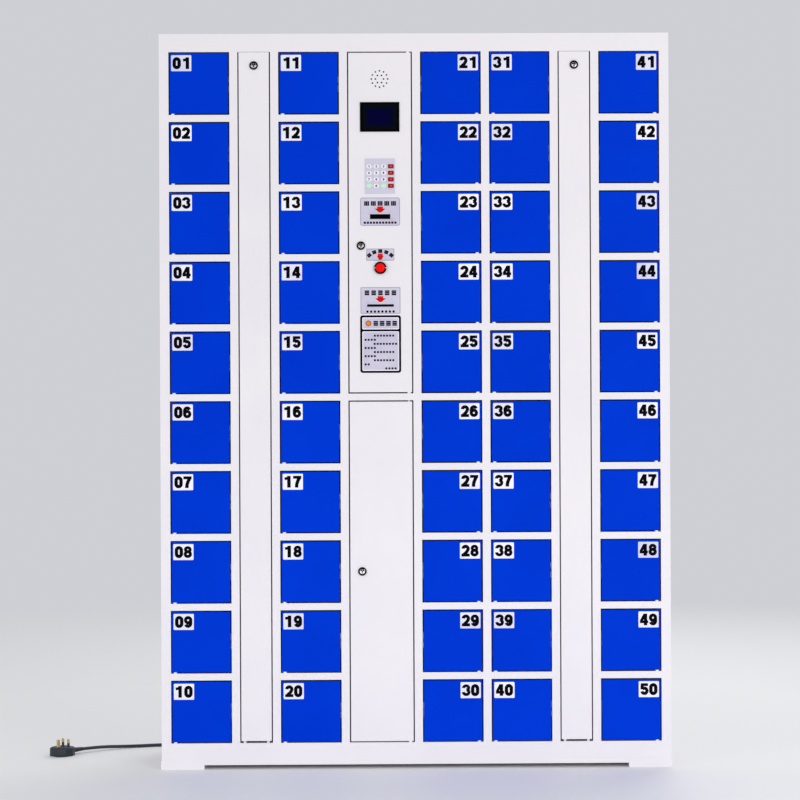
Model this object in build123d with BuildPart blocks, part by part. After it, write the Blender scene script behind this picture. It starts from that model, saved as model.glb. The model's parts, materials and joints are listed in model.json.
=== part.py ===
"""Electronic cell phone locker with fifty small doors, a control column and two service channels.

The cabinet is folded sheet steel. Eight bays stand side by side between full-height stiles:
five columns of phone doors, two narrow service channels for the lock wiring, and the control
column with a control door above a lower door. Every hung leaf turns on a full-height rod that
runs down its column close behind the front. Frame: millimetres, +Z up from the floor, the
front faces -Y, and the origin is on the floor under the middle of the body.
"""

import os
from collections import namedtuple
from math import pi, radians, tan

from build123d import *

os.makedirs("parts", exist_ok=True)

# ---------------------------------------------------------------- driving dimensions
# Front layout
rows = 10  # phone doors in a column
control_rows = 5  # rows that the control door covers, from the top
leaf_width = 137.0  # a phone door
leaf_height = 142.0
control_leaf_width = 147.0  # the control door and the lower door
cover_leaf_width = 71.0  # a service cover
leaf_gap = 3.0  # slit round every leaf
cover_foot_gap = 5.0  # slit under a service cover
cover_head_gap = 0.8  # slit over a service cover
stile_width = 19.0  # upright between two bays
side_stile_width = 22.5  # upright at each end of the front
rail_height = 16.25  # front rail between two rows
top_rail_height = 42.5
bottom_rail_height = 51.25
body_depth = 300.0

# Sheet
carcass_sheet = 1.2
back_sheet = 1.0
shelf_sheet = 1.0
door_sheet = 1.0
door_return = 15.0  # depth of a hung leaf's folded edges
stile_return = 18.0  # short leg of a stile
rail_flange = 20.0  # inward fold of the top and bottom rails

# Hinges
rod_diameter = 6.0
rod_clearance = 0.05  # between a rod and each side of its square hole
rod_front_clearance = 0.3  # between a rod and the rail in front of it
pivot_inset = 7.0  # from a leaf's edge to its rod
rod_tail = 8.0  # rod left above the top rail's flange

# Electric locks and strikers
lock_thickness = 14.0
lock_height = 36.0
lock_length = 52.0
lock_setback = 3.0  # from a leaf's folded edge to the lock's face
lock_mouth_height = 8.0
lock_mouth_spare = 3.0  # mouth left beyond the striker's tip
striker_engagement = 13.0
striker_width = 8.0
striker_sheet = 3.0
striker_inset = 2.0  # from the leaf's edge
striker_notch = 4.0  # side of the notch that the latch drops into

# Service covers
cover_return = 10.0
cover_tab_inset = 8.0
cover_tab_width = 6.0
cover_tab_sheet = 1.5
cover_tab_drop = 5.0  # below the sill
cover_tab_setback = 3.0  # from the cover's face to the tab
cover_slot_end_clearance = 0.3  # along the sill, at each end of a tab
cover_slot_side_clearance = 1.6  # across the sill, room for the tab to tilt
cover_lock_drop = 74.8  # below the top of the body

# Cam locks
cam_lock_face = 20.0
cam_lock_proud = 2.5
cam_lock_barrel = 17.0  # across the barrel's flats
cam_lock_barrel_corner = 4.0  # flat across each corner of the barrel
cam_lock_hole_clearance = 0.1
cam_lock_reach = 20.0  # from the leaf's face to the cam
cam_length = 40.0
cam_width = 13.0
cam_sheet = 2.0
keyway_width = 2.0
keyway_height = 8.0
keyway_depth = 1.5
door_lock_inset = 28.0  # from the leaf's free edge, on the control and lower doors
control_lock_drop = 499.5
lower_lock_drop = 1266.0

# Control door, heights given below the top of the body
speaker_drop = 107.2
speaker_outer_ring = 19.2  # radius of the ring of twelve holes
speaker_inner_ring = 9.6  # radius of the ring of six holes
speaker_hole = 4.2
speaker_hole_sides = 8
speaker_diameter = 50.0
speaker_depth = 18.0
display_drop = 196.6
display_width = 92.5
display_height = 69.5
display_proud = 1.5
display_body_margin = 4.0  # bezel overlap round the cut-out
display_body_depth = 16.0
keypad_drop = 336.0
keypad_width = 70.0
keypad_height = 82.5
keypad_sheet = 1.2
key_columns = 4
key_pitch_x = 17.2
key_pitch_z = 15.3
key_width = 12.5
key_height = 9.8
key_rise = 0.6
scan_drop = 431.2
scan_width = 48.0
scan_height = 11.6
scanner_width = 66.0
scanner_height = 40.0
scanner_depth = 45.0
button_drop = 552.0
button_bezel = 29.0
button_bezel_proud = 6.0
button_bezel_floor = 1.2  # bezel left under the cap
button_cap = 22.5
button_cap_clearance = 0.35
button_cap_proud = 2.5  # cap beyond the bezel
button_cap_chamfer = 1.2
button_travel = 3.0
button_body = 20.0
button_body_depth = 26.0
button_stem = 7.0  # side of the square stem
button_stem_bore = 22.0
button_stem_length = 18.0
ticket_drop = 640.5
ticket_width = 61.5
ticket_height = 4.3
printer_width = 82.0
printer_height = 62.0
printer_depth = 55.0
fit_clearance = 0.3  # between a module and the edge of its cut-out

# Power and wiring inside
supply_width = 98.0
supply_height = 160.0
supply_depth = 38.0
supply_drop = 1440.0
board_width = 110.0
board_height = 150.0
board_depth = 26.0
board_drop = 250.0
board_pitch = 240.0
trunking_width = 40.0
trunking_depth = 30.0
trunking_end_gap = 30.0

# Feet
foot_height = 10.0  # floor to the underside of the body
foot_width = 101.5
foot_sheet = 1.5
foot_lap = 10.0  # how far a foot's rim laps up the body

# Mains cord and its gland
gland_height = 540.0
gland_barrel = 12.4  # side of the square barrel that sits in the back panel
gland_barrel_clearance = 0.05
gland_nut = 24.0  # across the corners of the hexagon
gland_nut_length = 6.0
gland_nose = 14.0
gland_nose_length = 14.0
cord_diameter = 8.0
cord_points = [  # the cord's middle line, from the gland's nose to the plug
    (-81.0, 170.0, 540.0),
    (-81.0, 216.0, 540.0),
    (-81.0, 250.0, 506.0),
    (-83.0, 252.0, 438.0),
    (-87.0, 243.0, 325.0),
    (-89.0, 231.0, 212.0),
    (-95.0, 222.0, 106.0),
    (-110.0, 219.0, 42.0),
    (-168.0, 220.0, 4.0),
    (-281.0, 225.0, 4.0),
    (-396.0, 223.0, 4.0),
    (-511.0, 226.0, 4.0),
    (-622.0, 217.0, 4.0),
    (-718.0, 190.0, 4.0),
    (-790.0, 146.0, 10.0),
    (-846.0, 92.0, 10.0),
]
plug_width = 50.0
plug_waist = 34.0  # width at the cord end
plug_head = 32.0  # width at the end away from the cord
plug_length = 52.0
plug_shoulders = (13.0, 34.0)  # from the cord end, where the full width starts and ends
plug_thickness = 22.0
plug_chamfer = 3.0
pin_length = 18.0
pin_sheet = 4.0
earth_pin_length = 8.0
earth_pin_place = 38.0  # from the plug's cord end
line_pin_length = 6.3
line_pin_place = 15.8
line_pin_pitch = 22.2

# ---------------------------------------------------------------- positions worked out from them
LEFT, RIGHT, NONE = -1, 1, 0
Bay = namedtuple("Bay", "kind left right hinge")

opening_height = leaf_height + 2 * leaf_gap
row_pitch = opening_height + rail_height
sill = foot_height + bottom_rail_height
head = sill + rows * row_pitch - rail_height
body_top = head + top_rail_height
front = -body_depth / 2
back = body_depth / 2
inner_back = back - back_sheet
gland_hole = gland_barrel + 2 * gland_barrel_clearance

bay_plan = [
    ("doors", leaf_width, LEFT),
    ("cover", cover_leaf_width, NONE),
    ("doors", leaf_width, LEFT),
    ("control", control_leaf_width, RIGHT),
    ("doors", leaf_width, RIGHT),
    ("doors", leaf_width, LEFT),
    ("cover", cover_leaf_width, NONE),
    ("doors", leaf_width, RIGHT),
]
openings_width = sum(width + 2 * leaf_gap for _, width, _ in bay_plan)
body_width = openings_width + (len(bay_plan) - 1) * stile_width + 2 * side_stile_width
bays = []
bay_left = side_stile_width - body_width / 2
for kind, width, hinge in bay_plan:
    bays.append(Bay(kind, bay_left, bay_left + width + 2 * leaf_gap, hinge))
    bay_left = bays[-1].right + stile_width
door_bays = [bay for bay in bays if bay.kind == "doors"]
cover_bays = [bay for bay in bays if bay.kind == "cover"]
control_bay = next(bay for bay in bays if bay.kind == "control")
hung_bays = [bay for bay in bays if bay.hinge != NONE]

inner_width = body_width - 2 * carcass_sheet
door_opening = leaf_width + 2 * leaf_gap
rod_hole = rod_diameter + 2 * rod_clearance
pivot_y = front + carcass_sheet + rod_front_clearance + rod_diameter / 2
split_sill = sill + (rows - control_rows) * row_pitch
lock_face = front + door_return + lock_setback
striker_tip = lock_face + striker_engagement
front_plane = Plane.XZ.offset(-front)


def row_sill(row):
    """Height of the lower edge of a row's openings; row 1 is the top row."""
    return sill + (rows - row) * row_pitch


def centre(bay):
    return (bay.left + bay.right) / 2


def pivot_x(bay):
    """Across the front, where the rod of a hung bay stands."""
    edge = bay.left if bay.hinge == LEFT else bay.right
    return edge - bay.hinge * (leaf_gap + pivot_inset)


def free_edge(bay):
    """Edge of the leaf away from the rod."""
    return bay.right - leaf_gap if bay.hinge == LEFT else bay.left + leaf_gap


rod_places = [(pivot_x(bay), pivot_y) for bay in hung_bays]


# ---------------------------------------------------------------- carcass
def side_panel(side):
    """Outer wall, front stile and inner liner of one end, folded from one sheet."""
    outer = side * body_width / 2
    inner = side * (body_width / 2 - side_stile_width)
    with BuildPart() as panel:
        with BuildSketch(Plane.XY.offset(foot_height)):
            with BuildLine():
                Polyline(
                    (outer, front),
                    (outer, back),
                    (outer - side * carcass_sheet, back),
                    (outer - side * carcass_sheet, front),
                    close=True,
                )
            make_face()
        extrude(amount=body_top - foot_height)
        with BuildSketch(Plane.XY.offset(sill)):
            with BuildLine():
                Polyline(
                    (outer - side * carcass_sheet, front),
                    (inner, front),
                    (inner, inner_back),
                    (inner + side * carcass_sheet, inner_back),
                    (inner + side * carcass_sheet, front + carcass_sheet),
                    (outer - side * carcass_sheet, front + carcass_sheet),
                    close=True,
                )
            make_face()
        extrude(amount=head - sill)
    return panel.part


def stile(left_bay, right_bay):
    """Channel between two bays; its leg beside phone doors runs back as their wall."""
    left, right = left_bay.right, right_bay.left
    left_end = inner_back if left_bay.kind == "doors" else front + stile_return
    right_end = inner_back if right_bay.kind == "doors" else front + stile_return
    with BuildPart() as channel:
        with BuildSketch(Plane.XY.offset(sill)):
            with BuildLine():
                Polyline(
                    (left, front),
                    (right, front),
                    (right, right_end),
                    (right - carcass_sheet, right_end),
                    (right - carcass_sheet, front + carcass_sheet),
                    (left + carcass_sheet, front + carcass_sheet),
                    (left + carcass_sheet, left_end),
                    (left, left_end),
                    close=True,
                )
            make_face()
        extrude(amount=head - sill)
    return channel.part


def end_panel(plate_level, rail_level, inward):
    """Top or bottom of the body with its front rail; inward is the way to the openings."""
    with BuildPart() as panel:
        with BuildSketch(Plane.YZ.offset(-inner_width / 2)):
            with BuildLine():
                Polyline(
                    (front, plate_level),
                    (inner_back, plate_level),
                    (inner_back, plate_level + inward * carcass_sheet),
                    (front + carcass_sheet, plate_level + inward * carcass_sheet),
                    (front + carcass_sheet, rail_level - inward * carcass_sheet),
                    (front + rail_flange, rail_level - inward * carcass_sheet),
                    (front + rail_flange, rail_level),
                    (front, rail_level),
                    close=True,
                )
            make_face()
        extrude(amount=inner_width)
        with BuildSketch(Plane.XY.offset(rail_level)):
            with Locations(*rod_places):
                Rectangle(rod_hole, rod_hole)
        extrude(amount=-inward * carcass_sheet, mode=Mode.SUBTRACT)
    return panel.part


cover_tab_y = front + cover_tab_setback + cover_tab_sheet / 2
cover_tab_places = [
    (edge, cover_tab_y)
    for bay in cover_bays
    for edge in (
        bay.left + leaf_gap + cover_tab_inset,
        bay.right - leaf_gap - cover_tab_inset,
    )
]

side_left = side_panel(LEFT)
side_right = side_panel(RIGHT)
top_panel = end_panel(body_top, head, -1)
bottom_blank = end_panel(foot_height, sill, 1)
with BuildPart() as bottom_panel:
    add(bottom_blank)
    with BuildSketch(Plane.XY.offset(sill)):
        with Locations(*cover_tab_places):
            Rectangle(
                cover_tab_width + 2 * cover_slot_end_clearance,
                cover_tab_sheet + 2 * cover_slot_side_clearance,
            )
    extrude(amount=-carcass_sheet, mode=Mode.SUBTRACT)
stiles = [stile(*pair) for pair in zip(bays, bays[1:])]

with BuildPart() as back_panel:
    with BuildSketch(Plane.XZ.offset(-back)):
        with Locations((0, (foot_height + body_top) / 2)):
            Rectangle(inner_width, body_top - foot_height)
        with Locations((centre(control_bay), gland_height)):
            Rectangle(gland_hole, gland_hole, mode=Mode.SUBTRACT)
    extrude(amount=back_sheet)

with BuildPart() as door_rails:
    with BuildSketch(front_plane):
        for bay in door_bays:
            for row in range(1, rows):
                with Locations((centre(bay), row_sill(row) - rail_height / 2)):
                    Rectangle(door_opening, rail_height)
    extrude(amount=-carcass_sheet)

shelf_depth = inner_back - front - carcass_sheet
shelf_middle = front + carcass_sheet + shelf_depth / 2
rod_slot_end = pivot_y + rod_hole / 2
rod_slot_depth = rod_slot_end - front - carcass_sheet
with BuildPart() as shelves:
    for row in range(1, rows):
        with BuildSketch(Plane.XY.offset(row_sill(row))):
            with Locations(*[(centre(bay), shelf_middle) for bay in door_bays]):
                Rectangle(door_opening, shelf_depth)
            with Locations(
                *[(pivot_x(bay), rod_slot_end - rod_slot_depth / 2) for bay in door_bays]
            ):
                Rectangle(rod_hole, rod_slot_depth, mode=Mode.SUBTRACT)
        extrude(amount=-shelf_sheet)

end_shelf_depth = inner_back - front - rail_flange
with BuildPart() as end_shelves:
    for level, thickness in ((sill, -shelf_sheet), (head, shelf_sheet)):
        with BuildSketch(Plane.XY.offset(level)):
            with Locations(
                *[(centre(bay), inner_back - end_shelf_depth / 2) for bay in door_bays]
            ):
                Rectangle(door_opening + 2 * carcass_sheet, end_shelf_depth)
        extrude(amount=thickness)

control_opening = control_leaf_width + 2 * leaf_gap
with BuildPart() as control_rail:
    with BuildSketch(front_plane):
        with Locations((centre(control_bay), split_sill - rail_height / 2)):
            Rectangle(control_opening, rail_height)
    extrude(amount=-carcass_sheet)
with BuildPart() as control_shelf:
    with BuildSketch(Plane.XY.offset(split_sill)):
        with Locations((centre(control_bay), front + carcass_sheet + stile_return / 2)):
            Rectangle(control_opening, stile_return)
        with Locations((pivot_x(control_bay), rod_slot_end - rod_slot_depth / 2)):
            Rectangle(rod_hole, rod_slot_depth, mode=Mode.SUBTRACT)
    extrude(amount=-shelf_sheet)


def foot(side):
    """Skid under one end: a shallow tray whose rim laps the foot of the body."""
    outer = side * (body_width / 2 + foot_sheet)
    inner = outer - side * foot_width
    middle = (outer + inner) / 2
    tray_depth = body_depth + 2 * foot_sheet
    with BuildPart() as skid:
        with BuildSketch():
            with Locations((middle, 0)):
                Rectangle(foot_width, tray_depth)
        extrude(amount=foot_height + foot_lap)
        with BuildSketch(Plane.XY.offset(foot_height)):
            with Locations((middle - side * foot_sheet, 0)):
                Rectangle(foot_width, body_depth)
        extrude(amount=foot_lap, mode=Mode.SUBTRACT)
        with BuildSketch(Plane.XY.offset(foot_sheet)):
            with Locations((middle - side * foot_sheet / 2, 0)):
                Rectangle(foot_width - 3 * foot_sheet, body_depth - 2 * foot_sheet)
        extrude(amount=foot_height - foot_sheet, mode=Mode.SUBTRACT)
    return skid.part


feet = [foot(LEFT), foot(RIGHT)]

with BuildPart() as cord_gland:
    with BuildSketch(Plane.XZ.offset(-back)):
        with Locations((centre(control_bay), gland_height)):
            RegularPolygon(gland_nut / 2, 6)
    extrude(amount=-gland_nut_length)
    with BuildSketch(Plane.XZ.offset(-back - gland_nut_length)):
        with Locations((centre(control_bay), gland_height)):
            Circle(gland_nose / 2)
    extrude(amount=-gland_nose_length)
    with BuildSketch(Plane.XZ.offset(-back)):
        with Locations((centre(control_bay), gland_height)):
            Rectangle(gland_barrel, gland_barrel)
    extrude(amount=back_sheet + gland_nut_length)

carcass = Compound(
    label="cabinet_carcass",
    children=[
        side_left,
        side_right,
        top_panel,
        bottom_panel.part,
        back_panel.part,
        *stiles,
        door_rails.part,
        shelves.part,
        end_shelves.part,
        control_rail.part,
        control_shelf.part,
        *feet,
        cord_gland.part,
    ],
)
export_step(carcass, "parts/cabinet_carcass.step")

# ---------------------------------------------------------------- rods, locks, power and wiring
rod_foot = foot_height + carcass_sheet
with BuildPart() as hinge_rods:
    with BuildSketch(Plane.XY.offset(rod_foot)):
        with Locations(*rod_places):
            Circle(rod_diameter / 2)
    extrude(amount=head + carcass_sheet + rod_tail - rod_foot)

mouth_depth = striker_engagement + lock_mouth_spare
with BuildPart() as electric_locks:
    for bay in door_bays:
        wall = bay.right if bay.hinge == LEFT else bay.left
        with BuildSketch(Plane.YZ.offset(wall)):
            for row in range(1, rows + 1):
                middle = row_sill(row) + opening_height / 2
                with Locations((lock_face + lock_length / 2, middle)):
                    Rectangle(lock_length, lock_height)
                with Locations((lock_face + mouth_depth / 2, middle)):
                    Rectangle(mouth_depth, lock_mouth_height, mode=Mode.SUBTRACT)
        extrude(amount=bay.hinge * lock_thickness)

inner_back_plane = Plane.XZ.offset(-inner_back)
with BuildPart() as power_supply:
    with BuildSketch(inner_back_plane):
        with Locations((centre(control_bay), body_top - supply_drop)):
            Rectangle(supply_width, supply_height)
    extrude(amount=supply_depth)
with BuildPart() as lock_boards:
    with BuildSketch(inner_back_plane):
        for step in range(2):
            with Locations((centre(control_bay), body_top - board_drop - step * board_pitch)):
                Rectangle(board_width, board_height)
    extrude(amount=board_depth)
with BuildPart() as cable_trunking:
    with BuildSketch(inner_back_plane):
        for bay in cover_bays:
            with Locations((centre(bay), (sill + head) / 2)):
                Rectangle(trunking_width, head - sill - 2 * trunking_end_gap)
    extrude(amount=trunking_depth)

inner_fittings = Compound(
    label="inner_fittings",
    children=[
        hinge_rods.part,
        electric_locks.part,
        power_supply.part,
        lock_boards.part,
        cable_trunking.part,
    ],
)
export_step(inner_fittings, "parts/inner_fittings.step")


# ---------------------------------------------------------------- leaves
def leaf_pan(bay, bottom, height, depth):
    """Open-backed pan with folded edges that fills a bay's opening between its slits."""
    with BuildPart() as pan:
        with BuildSketch(front_plane):
            with Locations((centre(bay), bottom + height / 2)):
                Rectangle(bay.right - bay.left - 2 * leaf_gap, height)
        extrude(amount=-depth)
        rear = pan.faces().sort_by(Axis.Y)[-1]
        offset(amount=-door_sheet, openings=rear)
    return pan.part


def hung_pan(bay, bottom, height):
    """Pan of a leaf that turns on its bay's rod, with a square rod hole in both end folds."""
    pan = leaf_pan(bay, bottom, height, door_return)
    with BuildPart() as hung:
        add(pan)
        with BuildSketch(Plane.XY.offset(bottom)):
            with Locations((pivot_x(bay), pivot_y)):
                Rectangle(rod_hole, rod_hole)
        extrude(amount=height, mode=Mode.SUBTRACT)
    return hung.part


def phone_door(bay, row):
    """Phone door with its striker: a flat tongue notched for the latch of the electric lock."""
    bottom = row_sill(row) + leaf_gap
    pan = hung_pan(bay, bottom, leaf_height)
    outer = free_edge(bay) + bay.hinge * striker_inset
    inner = outer + bay.hinge * striker_width
    notch_side = inner - bay.hinge * striker_notch
    notch_start = striker_tip - 2 * striker_notch
    with BuildPart() as door:
        add(pan)
        with BuildSketch(Plane.XY.offset(bottom + (leaf_height - striker_sheet) / 2)):
            with BuildLine():
                Polyline(
                    (outer, front + door_sheet),
                    (outer, striker_tip),
                    (inner, striker_tip),
                    (inner, striker_tip - striker_notch),
                    (notch_side, striker_tip - striker_notch),
                    (notch_side, notch_start),
                    (inner, notch_start),
                    (inner, front + door_sheet),
                    close=True,
                )
            make_face()
        extrude(amount=striker_sheet)
    return door.part


door_places = [(bay, row) for bay in door_bays for row in range(1, rows + 1)]
for number, (bay, row) in enumerate(door_places, start=1):
    door = phone_door(bay, row)
    door.label = f"door_{number:02d}"
    export_step(door, f"parts/{door.label}.step")


def barrel_outline(x, z, clearance):
    """Square with its corners cut off, which keeps a cam lock from turning in its leaf."""
    side = cam_lock_barrel + 2 * clearance
    with BuildSketch(front_plane) as outline:
        with Locations((x, z)):
            Rectangle(side, side)
        chamfer(outline.vertices(), cam_lock_barrel_corner)
    return outline.sketch


def cam_lock(x, z):
    """Key-operated cam lock through a leaf; its cam hangs down, turned clear of the stile."""
    barrel = barrel_outline(x, z, 0)
    with BuildPart() as lock:
        with BuildSketch(front_plane):
            with Locations((x, z)):
                Circle(cam_lock_face / 2)
        extrude(amount=cam_lock_proud)
        extrude(barrel, amount=-cam_lock_reach)
        with BuildSketch(front_plane.offset(-cam_lock_reach)):
            with Locations((x, z - (cam_length - cam_width) / 2)):
                Rectangle(cam_width, cam_length)
        extrude(amount=-cam_sheet)
        with BuildSketch(front_plane.offset(cam_lock_proud)):
            with Locations((x, z)):
                Rectangle(keyway_width, keyway_height)
        extrude(amount=-keyway_depth, mode=Mode.SUBTRACT)
    return lock.part


def drilled_leaf(leaf, x, z):
    """The leaf with a hole for the barrel of a cam lock."""
    hole = barrel_outline(x, z, cam_lock_hole_clearance)
    with BuildPart() as drilled:
        add(leaf)
        extrude(hole, amount=-door_sheet, mode=Mode.SUBTRACT)
    return drilled.part


# ---------------------------------------------------------------- control door and its modules
control_x = centre(control_bay)
door_lock_x = free_edge(control_bay) + door_lock_inset
control_bottom = split_sill + leaf_gap
control_height = head - leaf_gap - control_bottom
speaker_z = body_top - speaker_drop
display_z = body_top - display_drop
keypad_z = body_top - keypad_drop
scan_z = body_top - scan_drop
button_z = body_top - button_drop
ticket_z = body_top - ticket_drop
display_body_width = display_width - 2 * display_body_margin
display_body_height = display_height - 2 * display_body_margin

control_pan = drilled_leaf(
    hung_pan(control_bay, control_bottom, control_height),
    door_lock_x,
    body_top - control_lock_drop,
)
with BuildPart() as control_leaf:
    add(control_pan)
    with BuildSketch(front_plane):
        with Locations((control_x, speaker_z)):
            with PolarLocations(speaker_outer_ring, 12):
                RegularPolygon(speaker_hole / 2, speaker_hole_sides)
            with PolarLocations(speaker_inner_ring, 6):
                RegularPolygon(speaker_hole / 2, speaker_hole_sides)
        with Locations((control_x, display_z)):
            Rectangle(
                display_body_width + 2 * fit_clearance,
                display_body_height + 2 * fit_clearance,
            )
        with Locations((control_x, scan_z)):
            Rectangle(scan_width, scan_height)
        with Locations((control_x, button_z)):
            Circle(button_body / 2 + fit_clearance)
        with Locations((control_x, ticket_z)):
            Rectangle(ticket_width, ticket_height)
    extrude(amount=-door_sheet, mode=Mode.SUBTRACT)
control_door = Compound(
    label="control_door",
    children=[control_leaf.part, cam_lock(door_lock_x, body_top - control_lock_drop)],
)
export_step(control_door, "parts/control_door.step")

leaf_back_plane = front_plane.offset(-door_sheet)
with BuildPart() as speaker:
    with BuildSketch(leaf_back_plane):
        with Locations((control_x, speaker_z)):
            Circle(speaker_diameter / 2)
    extrude(amount=-speaker_depth)

with BuildPart() as display:
    with BuildSketch(front_plane):
        with Locations((control_x, display_z)):
            Rectangle(display_width, display_height)
    extrude(amount=display_proud)
    with BuildSketch(front_plane):
        with Locations((control_x, display_z)):
            Rectangle(display_body_width, display_body_height)
    extrude(amount=-display_body_depth)

with BuildPart() as keypad:
    with BuildSketch(front_plane):
        with Locations((control_x, keypad_z)):
            Rectangle(keypad_width, keypad_height)
    extrude(amount=keypad_sheet)
    with BuildSketch(front_plane.offset(keypad_sheet)):
        with Locations((control_x, keypad_z)):
            with GridLocations(key_pitch_x, key_pitch_z, key_columns, key_columns):
                Rectangle(key_width, key_height)
    extrude(amount=key_rise)

with BuildPart() as scanner:
    with BuildSketch(leaf_back_plane):
        with Locations((control_x, scan_z)):
            Rectangle(scanner_width, scanner_height)
    extrude(amount=-scanner_depth)

with BuildPart() as printer:
    with BuildSketch(leaf_back_plane):
        with Locations((control_x, ticket_z)):
            Rectangle(printer_width, printer_height)
        with Locations((control_x, ticket_z)):
            Rectangle(ticket_width, ticket_height, mode=Mode.SUBTRACT)
    extrude(amount=-printer_depth)

stem_bore = button_stem + 2 * button_cap_clearance
with BuildPart() as button_housing:
    with BuildSketch(front_plane):
        with Locations((control_x, button_z)):
            Circle(button_bezel / 2)
    extrude(amount=button_bezel_proud)
    with BuildSketch(front_plane):
        with Locations((control_x, button_z)):
            Circle(button_body / 2)
    extrude(amount=-button_body_depth)
    with BuildSketch(front_plane.offset(button_bezel_proud)):
        with Locations((control_x, button_z)):
            Circle(button_cap / 2 + button_cap_clearance)
    extrude(amount=button_bezel_floor - button_bezel_proud, mode=Mode.SUBTRACT)
    with BuildSketch(front_plane.offset(button_bezel_floor)):
        with Locations((control_x, button_z)):
            Rectangle(stem_bore, stem_bore)
    extrude(amount=-button_stem_bore, mode=Mode.SUBTRACT)

panel_modules = Compound(
    label="panel_modules",
    children=[
        speaker.part,
        display.part,
        keypad.part,
        scanner.part,
        printer.part,
        button_housing.part,
    ],
)
export_step(panel_modules, "parts/panel_modules.step")

cap_seat = button_bezel_floor + button_travel + button_cap_clearance  # cap's rear face
cap_face = button_bezel_proud + button_cap_proud
with BuildPart() as push_button:
    with BuildSketch(front_plane.offset(cap_seat)):
        with Locations((control_x, button_z)):
            Circle(button_cap / 2)
    extrude(amount=cap_face - cap_seat)
    chamfer(push_button.edges().sort_by(Axis.Y)[0], button_cap_chamfer)
    with BuildSketch(front_plane.offset(cap_seat)):
        with Locations((control_x, button_z)):
            Rectangle(button_stem, button_stem)
    extrude(amount=-button_stem_length)
push_button.part.label = "push_button"
export_step(push_button.part, "parts/push_button.step")

# ---------------------------------------------------------------- lower door
lower_bottom = sill + leaf_gap
lower_height = split_sill - rail_height - leaf_gap - lower_bottom
lower_leaf = drilled_leaf(
    hung_pan(control_bay, lower_bottom, lower_height),
    door_lock_x,
    body_top - lower_lock_drop,
)
lower_door = Compound(
    label="lower_door",
    children=[lower_leaf, cam_lock(door_lock_x, body_top - lower_lock_drop)],
)
export_step(lower_door, "parts/lower_door.step")

# ---------------------------------------------------------------- service covers
cover_bottom = sill + cover_foot_gap
for bay, name in zip(cover_bays, ("service_cover_left", "service_cover_right")):
    cover_pan = drilled_leaf(
        leaf_pan(bay, cover_bottom, head - cover_head_gap - cover_bottom, cover_return),
        centre(bay),
        body_top - cover_lock_drop,
    )
    with BuildPart() as cover_leaf:
        add(cover_pan)
        with BuildSketch(Plane.XY.offset(cover_bottom)):
            with Locations(
                (bay.left + leaf_gap + cover_tab_inset, cover_tab_y),
                (bay.right - leaf_gap - cover_tab_inset, cover_tab_y),
            ):
                Rectangle(cover_tab_width, cover_tab_sheet)
        extrude(amount=-(cover_foot_gap + cover_tab_drop))
    cover = Compound(
        label=name,
        children=[cover_leaf.part, cam_lock(centre(bay), body_top - cover_lock_drop)],
    )
    export_step(cover, f"parts/{name}.step")


# ---------------------------------------------------------------- mains cord and plug
def corner_radii(points):
    """Largest arc that the two runs beside each corner leave room for."""
    radii = []
    for before, here, after in zip(points, points[1:], points[2:]):
        run_in = Vector(*here) - Vector(*before)
        run_out = Vector(*after) - Vector(*here)
        turn = radians(run_in.get_angle(run_out))
        radii.append(0.45 * min(run_in.length, run_out.length) / tan(turn / 2))
    return radii


cord_radii = corner_radii(cord_points)
with BuildPart() as power_cord:
    with BuildLine():
        cord_route = FilletPolyline(*cord_points, radius=cord_radii)
    with BuildSketch(Plane(origin=cord_route @ 0, z_dir=cord_route % 0)):
        Circle(cord_diameter / 2)
    sweep(path=cord_route)
cord_section = pi * cord_diameter**2 / 4
cord_fill = power_cord.part.volume / (cord_section * cord_route.length)
print("cord radii, mm:", [round(radius) for radius in cord_radii])
print("cord length, mm:", round(cord_route.length, 1))
print("cord volume over section times length:", round(cord_fill, 4))
power_cord.part.label = "power_cord"
export_step(power_cord.part, "parts/power_cord.step")

cord_end = Vector(*cord_points[-1])
cord_way = cord_end - Vector(*cord_points[-2])
plug_plane = Plane(
    origin=(cord_end.X, cord_end.Y, 0), x_dir=(cord_way.X, cord_way.Y, 0), z_dir=(0, 0, 1)
)
with BuildPart() as power_plug:
    with BuildSketch(plug_plane):
        with BuildLine():
            plug_side = Polyline(
                (0, plug_waist / 2),
                (plug_shoulders[0], plug_width / 2),
                (plug_shoulders[1], plug_width / 2),
                (plug_length, plug_head / 2),
            )
            mirror(plug_side, about=Plane.XZ)
            Line(plug_side @ 0, (0, -plug_waist / 2))
            Line(plug_side @ 1, (plug_length, -plug_head / 2))
        make_face()
    extrude(amount=plug_thickness)
    chamfer(power_plug.faces().sort_by(Axis.Z)[-1].edges(), plug_chamfer)
    with BuildSketch(plug_plane.offset(plug_thickness)):
        with Locations((earth_pin_place, 0)):
            Rectangle(earth_pin_length, pin_sheet)
        with Locations((line_pin_place, line_pin_pitch / 2), (line_pin_place, -line_pin_pitch / 2)):
            Rectangle(pin_sheet, line_pin_length)
    extrude(amount=pin_length)
power_plug.part.label = "power_plug"
export_step(power_plug.part, "parts/power_plug.step")
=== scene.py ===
# %% [markdown]
# # A cell phone locker box
# The CAD model gives the steel body, the doors and the modules behind them. It arrives
# as a fixed frame: metres, the floor at z = 0, the front facing -Y. The frame is loaded
# before anything else, because every piece added later is placed from its boxes.

# %% Load the frame
import json
import math

import bmesh
import bpy
from mathutils import Matrix, Vector


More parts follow.
